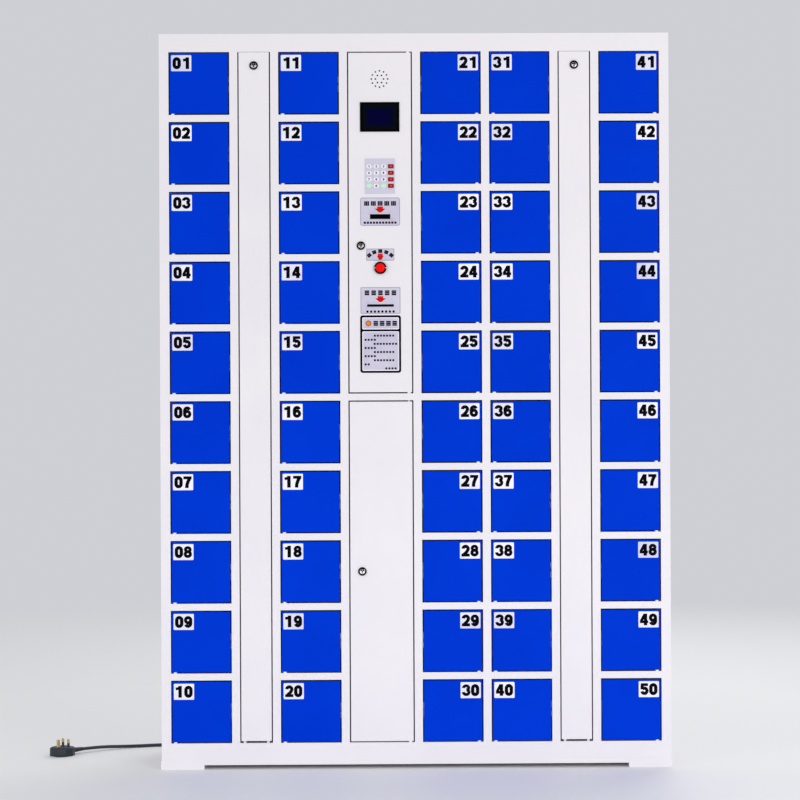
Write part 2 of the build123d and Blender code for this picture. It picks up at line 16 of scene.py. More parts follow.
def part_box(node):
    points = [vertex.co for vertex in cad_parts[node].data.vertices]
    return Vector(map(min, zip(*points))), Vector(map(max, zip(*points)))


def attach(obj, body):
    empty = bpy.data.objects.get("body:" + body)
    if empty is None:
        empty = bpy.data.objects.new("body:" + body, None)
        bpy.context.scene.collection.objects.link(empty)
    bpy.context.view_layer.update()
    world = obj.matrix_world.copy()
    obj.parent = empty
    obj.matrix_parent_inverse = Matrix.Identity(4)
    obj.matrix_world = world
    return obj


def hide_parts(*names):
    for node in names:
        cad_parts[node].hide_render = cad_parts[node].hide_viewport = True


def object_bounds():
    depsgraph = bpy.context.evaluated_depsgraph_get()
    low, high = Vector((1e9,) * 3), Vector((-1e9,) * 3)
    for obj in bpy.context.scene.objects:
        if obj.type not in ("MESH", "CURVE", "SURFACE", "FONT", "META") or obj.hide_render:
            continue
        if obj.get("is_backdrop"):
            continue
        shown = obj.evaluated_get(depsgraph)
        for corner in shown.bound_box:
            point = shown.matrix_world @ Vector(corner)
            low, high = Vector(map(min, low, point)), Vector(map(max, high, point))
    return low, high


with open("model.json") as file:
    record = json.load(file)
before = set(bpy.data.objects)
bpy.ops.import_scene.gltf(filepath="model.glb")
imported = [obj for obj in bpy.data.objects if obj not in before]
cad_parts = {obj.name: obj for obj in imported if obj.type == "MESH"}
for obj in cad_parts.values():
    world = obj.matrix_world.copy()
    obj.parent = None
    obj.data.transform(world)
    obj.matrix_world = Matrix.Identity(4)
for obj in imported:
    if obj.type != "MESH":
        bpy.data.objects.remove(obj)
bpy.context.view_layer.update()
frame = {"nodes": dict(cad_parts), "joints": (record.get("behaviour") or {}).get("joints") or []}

nodes = frame["nodes"]
MM = 0.001
TOUCH = 0.01 * MM  # points nearer than this are the same place

# %% [markdown]
# ## The camera
# A cabinet looks most like itself from straight ahead, with its uprights upright. The
# camera stands 5.35 m in front and a little left of the middle, half way up, with a long
# lens, so that the doors' edges hardly converge. The three small turns are the tilt and
# swing of a camera held by hand.

# %% Camera
camera_place = Vector((-0.0879, -5.5, 0.8657))
camera_turns = (("Y", 0.2587), ("X", 0.0132), ("Z", -0.5547))
camera_lens = 102.275
look_ahead = Matrix.Rotation(math.radians(90), 3, "X")
for axis, degrees in camera_turns:
    look_ahead = Matrix.Rotation(math.radians(degrees), 3, axis) @ look_ahead
bpy.ops.object.camera_add(location=camera_place, rotation=look_ahead.to_euler())
camera = bpy.context.object
camera.name = "camera"
camera.data.lens = camera_lens
bpy.context.scene.camera = camera
print("camera at", tuple(camera_place), "lens", camera_lens)

# %% [markdown]
# ## The mains cord
# The lead leaves a gland low on the back, drops to the floor and runs along it to the
# left, where its plug lies. A NURBS curve through a few control points is the tool for
# that: one smooth line, thickened by the curve's own round bevel. The order and the end
# points are set after the points are there, or the curve falls back to straight runs.

# %% Cord
cord_diameter = 8 * MM
cord_points = [
    (-0.081, 0.170, 0.540),
    (-0.081, 0.216, 0.540),
    (-0.081, 0.250, 0.506),
    (-0.083, 0.252, 0.438),
    (-0.087, 0.243, 0.325),
    (-0.089, 0.231, 0.212),
    (-0.095, 0.222, 0.106),
    (-0.110, 0.219, 0.042),
    (-0.168, 0.220, 0.004),
    (-0.281, 0.225, 0.004),
    (-0.396, 0.223, 0.004),
    (-0.511, 0.226, 0.004),
    (-0.622, 0.217, 0.004),
    (-0.718, 0.190, 0.004),
    (-0.790, 0.146, 0.010),
    (-0.846, 0.092, 0.010),
]
cord_curve = bpy.data.curves.new("cord_sheath", "CURVE")
cord_curve.dimensions = "3D"
cord_curve.bevel_depth = cord_diameter / 2
cord_curve.bevel_resolution = 5
cord_curve.use_fill_caps = True
cord_line = cord_curve.splines.new("NURBS")
cord_line.points.add(len(cord_points) - 1)
for point, place in zip(cord_line.points, cord_points):
    point.co = (*place, 1)
cord_line.order_u = 3
cord_line.use_endpoint_u = True
cord_line.resolution_u = 10
cord = bpy.data.objects.new("cord_sheath", cord_curve)
bpy.context.scene.collection.objects.link(cord)
print("cord control points:", len(cord_line.points))

# %% [markdown]
# ## Shader arithmetic
# Patterns are sums and products of masks. This small class wraps a node socket, so that
# a mask is written as a plain expression, and `Finish` holds one material with the one
# method that makes any node.

# %% Shader helpers
class Socket:
    """A node's output: most often a number that changes over a surface."""

    def __init__(self, finish, output):
        self.finish, self.output = finish, output

    def maths(self, operation, *values):
        """A Math node fed with values, numbers or outputs."""
        return self.finish.node("ShaderNodeMath", {"operation": operation}, dict(enumerate(values)))

    def __add__(self, other):
        return self.maths("ADD", self, other)

    def __sub__(self, other):
        return self.maths("SUBTRACT", self, other)

    def __rsub__(self, other):
        return self.maths("SUBTRACT", other, self)

    def __mul__(self, other):
        return self.maths("MULTIPLY", self, other)

    def __abs__(self):
        return self.maths("ABSOLUTE", self)

    __radd__, __rmul__ = __add__, __mul__


class Finish:
    """One material: its node tree and the shader that it ends in."""

    def __init__(self, name, colour, roughness, **sockets):
        self.material = bpy.data.materials.new(name)
        self.material.use_nodes = True
        self.tree = self.material.node_tree
        self.shader = self.tree.nodes["Principled BSDF"]
        self.feed("Base Color", (*colour, 1))
        self.feed("Roughness", roughness)
        for socket, value in sockets.items():
            self.feed(socket.replace("_", " "), value)

    def node(self, kind, settings, inputs, output=0):
        """A node of any kind: settings first, then the values or links of its sockets."""
        made = self.tree.nodes.new(kind)
        for name, value in settings.items():
            setattr(made, name, value)
        for name, value in inputs.items():
            self.link(made.inputs[name], value)
        return Socket(self, made.outputs[output])

    def link(self, socket, value):
        """Join a node's output to a socket, or set the socket's own value."""
        if isinstance(value, Socket):
            self.tree.links.new(value.output, socket)
        else:
            socket.default_value = value

    def feed(self, socket, value):
        """Link or set one socket of the shader."""
        self.link(self.shader.inputs[socket], value)

    def place(self):
        """Where a point is on the object, in metres."""
        return self.node("ShaderNodeTexCoord", {}, {}, "Object")

    def noise(self, scale, detail=2.0):
        """A soft random pattern, scale blots to the metre."""
        inputs = {"Vector": self.place(), "Scale": scale, "Detail": detail}
        return self.node("ShaderNodeTexNoise", {}, inputs)

    def mix(self, factor, first, second):
        """One colour turning into another. A Mix node's colours are sockets 6 and 7."""
        inputs = {"Factor": factor, 6: first, 7: second}
        return self.node("ShaderNodeMix", {"data_type": "RGBA"}, inputs, 2)

    def spread(self, value, low, high):
        """A number stretched so that low becomes 0 and high becomes 1."""
        inputs = {"Value": value, "From Min": low, "From Max": high}
        return self.node("ShaderNodeMapRange", {}, inputs)

    def bump(self, height, depth):
        """Small relief, depth metres from its lowest to its highest."""
        inputs = {"Height": height, "Distance": depth, "Strength": 1.0}
        self.feed("Normal", self.node("ShaderNodeBump", {}, inputs))


print("shader helpers ready")

# %% [markdown]
# ## Powder coat
# The body is white powder coat and the phone doors are blue. Baked powder flows into a
# skin with a fine orange peel, here a noise of about a millimetre, fed to a bump. The
# gloss drifts a little from place to place, and the white is faintly uneven over a
# hand's width. The blue coat's own reflections are tinted, which keeps it deep.

# %% White and blue powder coat
def srgb(*levels):
    """Linear colour from 0-255 levels."""
    return tuple(((n / 255 + 0.055) / 1.055) ** 2.4 if n > 10 else n / 255 / 12.92 for n in levels)


def rgba(*levels):
    """The same colour with full alpha, as a node wants it."""
    return (*srgb(*levels), 1)


def powder_coat(name, colour, other, roughness, **sockets):
    """Satin powder coat whose colour drifts between two close tones."""
    coat = Finish(name, srgb(*colour), roughness, **sockets)
    drift = coat.spread(coat.noise(5.0, 3.0), 0.35, 0.65)
    coat.feed("Base Color", coat.mix(drift, rgba(*colour), rgba(*other)))
    coat.feed("Roughness", roughness + 0.10 * coat.noise(40.0))
    coat.bump(coat.noise(700.0, 1.0), 0.00003)
    return coat


white_coat = powder_coat("white_powder_coat", (238, 234, 239), (234, 231, 237), 0.34)
blue_coat = powder_coat(
    "blue_powder_coat",
    (0, 52, 204),
    (0, 56, 211),
    0.30,
    Specular_IOR_Level=0.25,
    Specular_Tint=rgba(50, 110, 255),
)
print("coats:", white_coat.material.name, blue_coat.material.name)

# %% [markdown]
# ## Metals
# Everything inside the cabinet shares one zinc plate with a soft mottled spangle. The
# cam locks' plugs are bright nickel, and the mains plug's pins are brass.

# %% Metals
zinc = Finish("zinc_plate", srgb(188, 191, 196), 0.36, Metallic=0.9)
spangle = zinc.noise(90.0, 4.0)
zinc.feed("Base Color", zinc.mix(spangle, rgba(176, 179, 184), rgba(206, 208, 212)))
zinc.feed("Roughness", 0.28 + 0.22 * spangle)
zinc.bump(zinc.noise(400.0), 0.00002)

nickel = Finish("bright_nickel", srgb(222, 220, 216), 0.16, Metallic=1.0)
nickel.feed("Roughness", 0.10 + 0.16 * nickel.noise(300.0, 4.0))
brass = Finish("brass", srgb(196, 172, 116), 0.26, Metallic=1.0)
brass.feed("Roughness", 0.16 + 0.20 * brass.noise(400.0, 4.0))
print("metals:", zinc.material.name, nickel.material.name, brass.material.name)

# %% [markdown]
# ## Plastics, rubber, films and inks
# Moulded plastic has a fine spark-eroded grain. Rubber is duller and softer. The panel
# labels and the number plates are silvery satin films with a breath of lavender, whose
# tone wanders from one plate to the next, and the printing on them is a matt ink.

# %% Plastics, films and inks
def moulded(name, colour, roughness, grain=900.0, depth=0.00003, **sockets):
    """Moulded plastic with a fine grain and slightly uneven gloss."""
    plastic = Finish(name, srgb(*colour), roughness, **sockets)
    lighter = tuple(min(255, level + 8) for level in colour)
    plastic.feed("Base Color", plastic.mix(plastic.noise(60.0), rgba(*colour), rgba(*lighter)))
    plastic.feed("Roughness", roughness + 0.12 * plastic.noise(200.0))
    plastic.bump(plastic.noise(grain, 1.0), depth)
    return plastic


black_plastic = moulded("black_moulding", (10, 10, 12), 0.42, Specular_IOR_Level=0.2)
plug_plastic = moulded("plug_moulding", (34, 40, 50), 0.38, Specular_IOR_Level=0.35)
cord_rubber = moulded("cord_rubber", (36, 41, 50), 0.55, grain=500.0)
nylon = moulded("white_nylon", (240, 240, 244), 0.40)
red_plastic = moulded("red_moulding", (240, 4, 6), 0.30, Specular_Tint=rgba(255, 120, 110))
red_key = moulded("red_key", (146, 12, 8), 0.36, Specular_IOR_Level=0.15)
white_key = moulded("white_key", (232, 231, 240), 0.36)
black_gloss = moulded("black_gloss", (6, 5, 10), 0.26, Specular_IOR_Level=0.06)
green_key = moulded("green_key", (190, 238, 198), 0.36)

label_film = Finish("label_film", srgb(202, 197, 219), 0.38)
label_tone = label_film.spread(label_film.noise(14.0, 3.0), 0.35, 0.65)
label_film.feed(
    "Base Color", label_film.mix(label_tone, rgba(195, 190, 214), rgba(210, 205, 224))
)
label_film.bump(label_film.noise(1200.0, 1.0), 0.00001)

plate_film = Finish("plate_film", srgb(236, 236, 250), 0.34)
plate_tone = plate_film.spread(plate_film.noise(4.5, 2.0), 0.34, 0.54)
plate_film.feed(
    "Base Color", plate_film.mix(plate_tone, rgba(214, 214, 242), rgba(246, 245, 252))
)
plate_film.feed("Roughness", 0.28 + 0.14 * plate_film.noise(500.0, 3.0))

black_ink = moulded("black_ink", (1, 0, 6), 0.50, depth=0.00001, Specular_IOR_Level=0.03)
red_ink = moulded("red_ink", (220, 14, 6), 0.45, depth=0.00001, Specular_IOR_Level=0.1)
amber_ink = moulded("amber_ink", (236, 128, 30), 0.45, depth=0.00001, Specular_IOR_Level=0.1)
orange_ink = moulded("orange_ink", (214, 72, 42), 0.40, depth=0.00001, Specular_IOR_Level=0.2)
white_film = moulded("white_film", (240, 239, 248), 0.40, depth=0.00001)
# A darker film under each label shows as a thin rim round it: painted shade along the labels'
# edges.
painted_shade_rim = moulded("painted_shade_rim", (146, 141, 162), 0.45, depth=0.00001, Specular_IOR_Level=0.3)
keypad_film = moulded("keypad_film", (204, 199, 219), 0.42, depth=0.00002)
print("films and inks:", label_film.material.name, plate_film.material.name)

# %% [markdown]
# ## Glass of the display
# The display is off: black glass with a dark navy field where the crystal layer lies.

# %% Display glass
screen_glass = Finish("screen_glass", srgb(2, 2, 5), 0.08, Specular_IOR_Level=0.03)
screen_glass.feed("Roughness", 0.06 + 0.06 * screen_glass.noise(60.0))
screen_field = Finish("screen_field", srgb(0, 0, 42), 0.12, Specular_IOR_Level=0.03)
print("glass:", screen_glass.material.name)

# %% [markdown]
# ## Finishes on the CAD nodes
# The sheet metal keeps its CAD shape, so it only needs its finish. One finish fills every
# slot of a node. The panel modules are all black moulding, because the keypad's pale
# membrane, the display's glass and the labels are laid over them later.

# %% Dress the CAD nodes
def dress(piece, *finishes):
    """Give a piece its finishes, one per slot."""
    count = max(len(piece.data.materials), 1)
    piece.data.materials.clear()
    for finish in finishes * (count if len(finishes) == 1 else 1):
        piece.data.materials.append(finish.material)


white_nodes = ("cabinet_carcass", "control_door", "lower_door")
cover_nodes = ("service_cover_left", "service_cover_right")
door_nodes = sorted(name for name in nodes if name.startswith("door_"))
for name in white_nodes + cover_nodes:
    dress(nodes[name], white_coat)
for name in door_nodes:
    dress(nodes[name], blue_coat)
dress(nodes["inner_fittings"], zinc)
dress(nodes["panel_modules"], black_plastic)
dress(nodes["push_button"], red_plastic)
print("dressed", len(white_nodes + cover_nodes), "white nodes and", len(door_nodes), "doors")

# %% [markdown]
# ## Working by hand, in code
# Blender's operators act on whatever is selected. So every step begins with nothing
# selected, and edges or faces are picked by where they are. These helpers are the few
# moves used all over: begin, take, pick, finish, join and copy.

# %% Modelling helpers
def clear_selection():
    """Leave edit mode and deselect every object."""
    if bpy.context.object and bpy.context.object.mode != "OBJECT":
        bpy.ops.object.mode_set(mode="OBJECT")
    bpy.ops.object.select_all(action="DESELECT")


def take(*pieces):
    """Select these pieces alone, the first one active."""
    clear_selection()
    for piece in pieces:
        piece.select_set(True)
    bpy.context.view_layer.objects.active = pieces[0]


def box_of(points):
    """The lowest and highest corners of the box round some points."""
    points = list(points)
    return Vector(map(min, *points)), Vector(map(max, *points))


def pick(kind, wanted):
    """In edit mode, select the edges or faces whose box passes a test."""
    piece = bpy.context.object
    bpy.ops.object.mode_set(mode="EDIT")
    bpy.ops.mesh.select_mode(type=kind)
    bpy.ops.mesh.select_all(action="DESELECT")
    shape = bmesh.from_edit_mesh(piece.data)
    for part in {"EDGE": shape.edges, "FACE": shape.faces}[kind]:
        if wanted(*box_of(corner.co for corner in part.verts)):
            part.select_set(True)
    shape.select_flush_mode()
    bmesh.update_edit_mesh(piece.data)


def settle(name, *finishes, smooth=None):
    """Leave edit mode with the piece's place in its mesh, and name and finish it."""
    bpy.ops.object.mode_set(mode="OBJECT")
    bpy.ops.object.transform_apply(location=True, rotation=True, scale=True)
    piece = bpy.context.object
    piece.name = piece.data.name = name
    if smooth is not None:
        bpy.ops.object.shade_smooth_by_angle(angle=math.radians(smooth))
    if finishes:
        dress(piece, *finishes)
    return piece


def join(name, pieces):
    """Make several pieces one, keeping each one's finish."""
    take(*pieces)
    if len(pieces) > 1:
        bpy.ops.object.join()
    pieces[0].name = pieces[0].data.name = name
    return pieces[0]


def copy_to(piece, name, move, scale=1.0):
    """A copy with its own mesh, scaled about the origin and moved."""
    copy = piece.copy()
    copy.data = piece.data.copy()
    copy.name = copy.data.name = name
    bpy.context.scene.collection.objects.link(copy)
    copy.data.transform(Matrix.Translation(move) @ Matrix.Scale(scale, 4))
    return copy


print("modelling helpers ready")

# %% [markdown]
# ## Blocks and turned shapes
# Three starts serve most pieces. A block is a cube primitive at its size and place, whose
# four edges along Y, and then its front rim, are beveled. A turned shape is a filled
# circle that is extruded and resized ring by ring, as on a lathe. A flat ring is the
# outline of a small rectangle, spun full circle.

# %% Block and turned helpers
OUT = Vector((0, -1, 0))  # out of the front
DEEP = 0.05 * MM  # how far one layer sinks into the one below


def block(name, low, high, finish, corner=0.0, rim=0.0):
    """A block between two corners. corner rounds its edges along Y, rim its front edges."""
    low, high = Vector(low), Vector(high)
    clear_selection()
    bpy.ops.mesh.primitive_cube_add(size=1, location=(low + high) / 2, scale=high - low)
    bpy.ops.object.transform_apply(location=True, rotation=False, scale=True)
    if corner:
        pick("EDGE", lambda a, b: (b - a).y > 0.9 * (high - low).y)
        bpy.ops.mesh.bevel(offset=corner, segments=5, affect="EDGES")
    if rim:
        pick("EDGE", lambda a, b: b.y < low.y + TOUCH)
        bpy.ops.mesh.bevel(offset=rim, segments=2, affect="EDGES")
    return settle(name, finish, smooth=30)


def turned(name, centre, axis, rings, finish, sides=48, smooth=35):
    """A closed lathe shape. rings are (distance along the axis, radius)."""
    centre, axis = Vector(centre), Vector(axis).normalized()
    clear_selection()
    first, radius = rings[0]
    bpy.ops.mesh.primitive_circle_add(
        vertices=sides,
        radius=radius,
        fill_type="NGON",
        location=centre + axis * first,
        rotation=axis.to_track_quat("Z", "Y").to_euler(),
    )
    bpy.ops.object.transform_apply(location=True, rotation=True, scale=False)
    bpy.ops.object.mode_set(mode="EDIT")
    bpy.ops.mesh.select_all(action="SELECT")
    for (before, old), (here, new) in zip(rings, rings[1:]):
        bpy.ops.mesh.extrude_region_move(
            TRANSFORM_OT_translate={"value": axis * (here - before)}
        )
        bpy.ops.transform.resize(value=(new / old,) * 3, center_override=centre + axis * here)
    bpy.ops.mesh.select_all(action="SELECT")
    bpy.ops.mesh.normals_make_consistent(inside=False)
    return settle(name, finish, smooth=smooth)


def ring(name, centre, inner, outer, start, end, finish, sides=48, edge=0.0):
    """A flat ring round the Y axis: a small rectangle's outline, spun full circle."""
    centre = Vector(centre)
    clear_selection()
    middle = Vector((centre.x + (inner + outer) / 2, (start + end) / 2, centre.z))
    bpy.ops.mesh.primitive_plane_add(size=1, location=middle)
    bpy.context.object.scale = (outer - inner, end - start, 1)
    bpy.ops.object.transform_apply(location=True, rotation=True, scale=True)
    bpy.ops.object.mode_set(mode="EDIT")
    if edge:
        bpy.ops.mesh.select_mode(type="VERT")
        bpy.ops.mesh.select_all(action="SELECT")
        bpy.ops.mesh.bevel(offset=edge, segments=2, affect="VERTICES")
    bpy.ops.mesh.select_all(action="SELECT")
    bpy.ops.mesh.delete(type="ONLY_FACE")
    bpy.ops.mesh.select_all(action="SELECT")
    bpy.ops.mesh.spin(
        steps=sides, angle=math.tau, center=(centre.x, 0, centre.z), axis=(0, 1, 0)
    )
    bpy.ops.mesh.select_all(action="SELECT")
    bpy.ops.mesh.remove_doubles(threshold=0.000001)
    bpy.ops.mesh.normals_make_consistent(inside=False)
    return settle(name, finish, smooth=35)


print("block and turned helpers ready")

# %% [markdown]
# ## The mains plug
# A plug of the three-pin kind with flat pins. Its outline is already right in the CAD
# model, so its mesh is copied, the loose triangles are merged, and the soft edges of a
# moulding come from a Bevel. The pins are cut where their black sleeves end. Grip ribs,
# a fuse cover and a screw are added in the plug's own frame and then swung into place.

# %% Mains plug
def brass_faces(piece, wanted):
    """Give the second of the piece's finishes to the faces whose box passes a test."""
    for face in piece.data.polygons:
        if wanted(*box_of(piece.data.vertices[index].co for index in face.vertices)):
            face.material_index = 1


plug_way = Vector(cord_points[-1]) - Vector(cord_points[-2])
plug_turn = Matrix.Rotation(math.atan2(plug_way.y, plug_way.x), 4, "Z")
plug_place = Matrix.Translation((*cord_points[-1][:2], 0)) @ plug_turn
plug_top, sleeve_end, earth_low = 22 * MM, 31 * MM, 33 * MM
plug_shell = copy_to(nodes["power_plug"], "mains_plug", (0, 0, 0))
plug_shell.data.transform(plug_place.inverted())
take(plug_shell)
bpy.ops.object.mode_set(mode="EDIT")
bpy.ops.mesh.select_all(action="SELECT")
bpy.ops.mesh.remove_doubles(threshold=TOUCH)
bpy.ops.mesh.dissolve_limited(angle_limit=math.radians(1))
bpy.ops.mesh.select_all(action="SELECT")
bpy.ops.mesh.bisect(plane_co=(0, 0, sleeve_end), plane_no=(0, 0, 1))
bpy.ops.object.mode_set(mode="OBJECT")
soften = plug_shell.modifiers.new("soften", "BEVEL")
soften.width, soften.segments, soften.angle_limit = 0.9 * MM, 3, math.radians(25)
bpy.ops.object.modifier_apply(modifier=soften.name)
bpy.ops.object.shade_smooth_by_angle(angle=math.radians(40))
dress(plug_shell, plug_plastic, brass)
brass_faces(plug_shell, lambda low, high: low.z > sleeve_end - DEEP)
brass_faces(plug_shell, lambda low, high: low.z > plug_top - DEEP and low.x > earth_low)
print("plug shell:", len(plug_shell.data.polygons), "faces")

# %% Grip ribs, fuse cover and screw
plug_parts = [plug_shell]
rib_count, rib_start, rib_pitch, rib_width = 5, 14 * MM, 4 * MM, 2 * MM
flank, half_rib = 24.6 * MM, 0.9 * MM  # a rib is half sunk in the plug's flank
rib_low, rib_high = 4 * MM, 17 * MM
for rib in range(rib_count):
    for side in (-1, 1):
        along = rib_start + rib_pitch * rib
        low = Vector((along, side * flank - half_rib, rib_low))
        high = Vector((along + rib_width, side * flank + half_rib, rib_high))
        plug_parts.append(block("plug_rib", low, high, plug_plastic, corner=0.8 * MM))

fuse_low = Vector((20 * MM, -4 * MM, plug_top - DEEP))
fuse_high = Vector((29 * MM, 4 * MM, plug_top + 0.6 * MM))
fuse_wall, fuse_sink = 1.2 * MM, 0.4 * MM
block("fuse_cover", fuse_low, fuse_high, plug_plastic)
pick("FACE", lambda a, b: a.z > plug_top)
bpy.ops.mesh.inset(thickness=fuse_wall)
bpy.ops.transform.translate(value=(0, 0, -fuse_sink))
plug_parts.append(settle("fuse_cover", plug_plastic))

screw = Vector((9.5 * MM, 0, 0))
screw_radius, screw_proud, screw_edge = 2.6 * MM, 0.4 * MM, 0.4 * MM
screw_top = plug_top + screw_proud + 0.1 * MM
screw_rings = [
    (plug_top - DEEP, screw_radius),
    (plug_top + screw_proud, screw_radius),
    (screw_top, screw_radius - screw_edge),
]
plug_parts.append(turned("plug_screw", screw, (0, 0, 1), screw_rings, nickel, sides=24))
slot_half = Vector((0.35 * MM, 2.2 * MM, 0))
slot_low = screw + Vector((0, 0, plug_top)) - slot_half
slot_high = screw + Vector((0, 0, screw_top + DEEP)) + slot_half
plug_parts.append(block("screw_slot", slot_low, slot_high, black_ink))
plug = join("mains_plug", plug_parts)
plug.data.transform(plug_place)
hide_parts("power_plug")
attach(plug, "cabinet")
print("mains plug:", len(plug.data.polygons), "faces")

# %% [markdown]
# ## Strain reliefs
# A lead is never clamped bare: a tapered rubber sleeve spreads its bend where it leaves
# the gland and where it enters the plug. Each is turned about the cord's own first or
# last run, with the ribs that let the real sleeve flex.

# %% Strain reliefs
relief_length, relief_thick, relief_thin = 34 * MM, 13 * MM, 9.4 * MM
relief_ribs, groove_depth = 5, 0.6 * MM


def strain_relief(name, start, toward, finish):
    """A ribbed sleeve from start, tapering along the cord."""
    length, thick, thin = relief_length, relief_thick, relief_thin
    rings = [(0.0, thick / 2)]
    for rib in range(relief_ribs):
        share = (rib + 0.5) / relief_ribs
        here = length * share
        radius = thick / 2 + (thin - thick) / 2 * share
        dip = length / relief_ribs / 4
        rings += [
            (here - dip, radius),
            (here - dip * 0.6, radius - groove_depth),
            (here + dip * 0.6, radius - groove_depth),
            (here + dip, radius),
        ]
    rings.append((length, thin / 2))
    return turned(name, start, Vector(toward) - Vector(start), rings, finish, sides=32)


gland_relief = strain_relief("gland_relief", cord_points[0], cord_points[1], cord_rubber)
plug_relief = strain_relief("plug_relief", cord_points[-1], cord_points[-2], plug_plastic)
dress(cord, cord_rubber)
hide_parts("power_cord")
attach(cord, "cabinet")
for piece in (gland_relief, plug_relief):
    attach(piece, "cabinet")
print("strain reliefs:", gland_relief.name, plug_relief.name)

# %% [markdown]
# ## Digits
# The door numbers are heavy block figures. Each is a set of strokes. A stroke is a line
# of points drawn on the front, extruded out of it into a thin wall and thickened to the
# width of a pen by Solidify. A Boolean fuses a figure's strokes into one solid. The ten
# figures are made once and copied wherever they stand.

# %% Strokes of the ten figures
def arc(x, z, across, up, start, end, steps=14):
    """Points on an ellipse from one angle to another, in degrees."""
    turns = [math.radians(start + (end - start) * k / steps) for k in range(steps + 1)]
    return [(x + across * math.cos(t), z + up * math.sin(t)) for t in turns]


# Each stroke is the width of its pen and its points, in millimetres about the middle of
# a figure 27 mm high and 19 mm wide.
nine = [
    (7.5, arc(0, 4.1, 6.1, 6.1, 0, 360, 24)),
    (7.8, [(5.95, 4.2), (5.95, -1.6)] + arc(0, -3.4, 5.95, 6.8, 15, -158)[1:]),
]
oval = arc(0, 4.2, 5.8, 6.0, 0, 180) + arc(0, -4.2, 5.8, 6.0, 180, 360) + [(5.8, 4.2)]
strokes = {
    "0": [(8.1, oval)],
    "1": [(8.2, [(3.4, -13.8), (3.4, 13.8)]), (6.5, [(3.0, 10.4), (0.2, 8.2), (-6.8, 6.8)])],
    "2": [
        (7.7, arc(0, 4.4, 6.0, 5.8, 178, -22) + [(2.4, -3.2), (-4.2, -9.2)]),
        (6.9, [(-9.7, -10.5), (9.7, -10.5)]),
    ],
    "3": [(7.1, arc(-0.2, 5.6, 6.1, 4.8, 186, -85)), (7.1, arc(0, -4.8, 6.5, 5.6, 85, -186))],
    "4": [
        (7.9, [(3.4, -13.8), (3.4, 13.8)]),
        (6.6, [(1.8, 12.4), (-6.9, -3.8)]),
        (6.4, [(-9.7, -5.4), (9.7, -5.4)]),
    ],
    "5": [
        (6.7, [(-5.4, 10.6), (8.7, 10.6)]),
        (7.2, [(-5.0, 13.8), (-5.7, -0.4)]),
        (7.5, arc(0, -3.9, 6.1, 6.3, 142, -170)),
    ],
    "6": [(pen, [(-x, -z) for x, z in points]) for pen, points in nine],
    "7": [
        (6.9, [(-9.7, 10.5), (9.7, 10.5)]),
        (8.1, [(5.6, 10.0), (1.6, 2.4), (-0.9, -5.0), (-1.8, -13.8)]),
    ],
    "8": [(7.1, arc(0, 5.7, 5.5, 4.7, 0, 360, 24)), (7.3, arc(0, -4.8, 6.2, 5.5, 0, 360, 24))],
    "9": nine,
}
print("figures drawn:", "".join(sorted(strokes)))

# %% Figures
ink_thickness = 0.15 * MM


def stroke_wall(name, pen, points):
    """One stroke: its points joined by a line, drawn out of the front and thickened."""
    places = [(x * MM, 0.0, z * MM) for x, z in points]
    closed = (Vector(places[0]) - Vector(places[-1])).length < TOUCH
    if closed:
        places.pop()
    edges = [(k, k + 1) for k in range(len(places) - 1)]
    edges += [(len(places) - 1, 0)] if closed else []
    line = bpy.data.meshes.new(name)
    line.from_pydata(places, edges, [])
    wall = bpy.data.objects.new(name, line)
    bpy.context.scene.collection.objects.link(wall)
    take(wall)
    bpy.ops.object.mode_set(mode="EDIT")
    bpy.ops.mesh.select_mode(type="VERT")
    bpy.ops.mesh.select_all(action="SELECT")
    bpy.ops.mesh.extrude_region_move(TRANSFORM_OT_translate={"value": OUT * ink_thickness})
    bpy.ops.object.mode_set(mode="OBJECT")
    thicken = wall.modifiers.new("pen", "SOLIDIFY")
    thicken.thickness, thicken.offset, thicken.use_even_offset = pen * MM, 0.0, True
    bpy.ops.object.modifier_apply(modifier=thicken.name)
    bpy.ops.object.mode_set(mode="EDIT")
    bpy.ops.mesh.select_all(action="SELECT")
    bpy.ops.mesh.normals_make_consistent(inside=False)
    bpy.ops.object.mode_set(mode="OBJECT")
    return wall


def figure(name, lines, ink):
    """One block figure about the origin: its strokes fused into one solid."""
    made, *others = [stroke_wall(name, pen, points) for pen, points in lines]
    for other in others:
        take(made)
        fuse = made.modifiers.new("fuse", "BOOLEAN")
        fuse.operation, fuse.solver, fuse.object = "UNION", "EXACT", other
        bpy.ops.object.modifier_apply(modifier=fuse.name)
        bpy.data.objects.remove(other)
    dress(made, ink)
    return made


figures = {digit: figure(f"figure_{digit}", lines, black_ink) for digit, lines in strokes.items()}
figure_faces = {digit: len(piece.data.polygons) for digit, piece in figures.items()}
print("figures made, with faces:", figure_faces)

# %% [markdown]
# ## Number plates
# Every phone door carries a plate with its number in the top corner on its hinge side.
# The plate is a thin block with rounded corners. It is modelled once at the origin and
# copied to each door, joined there with copies of its two figures.

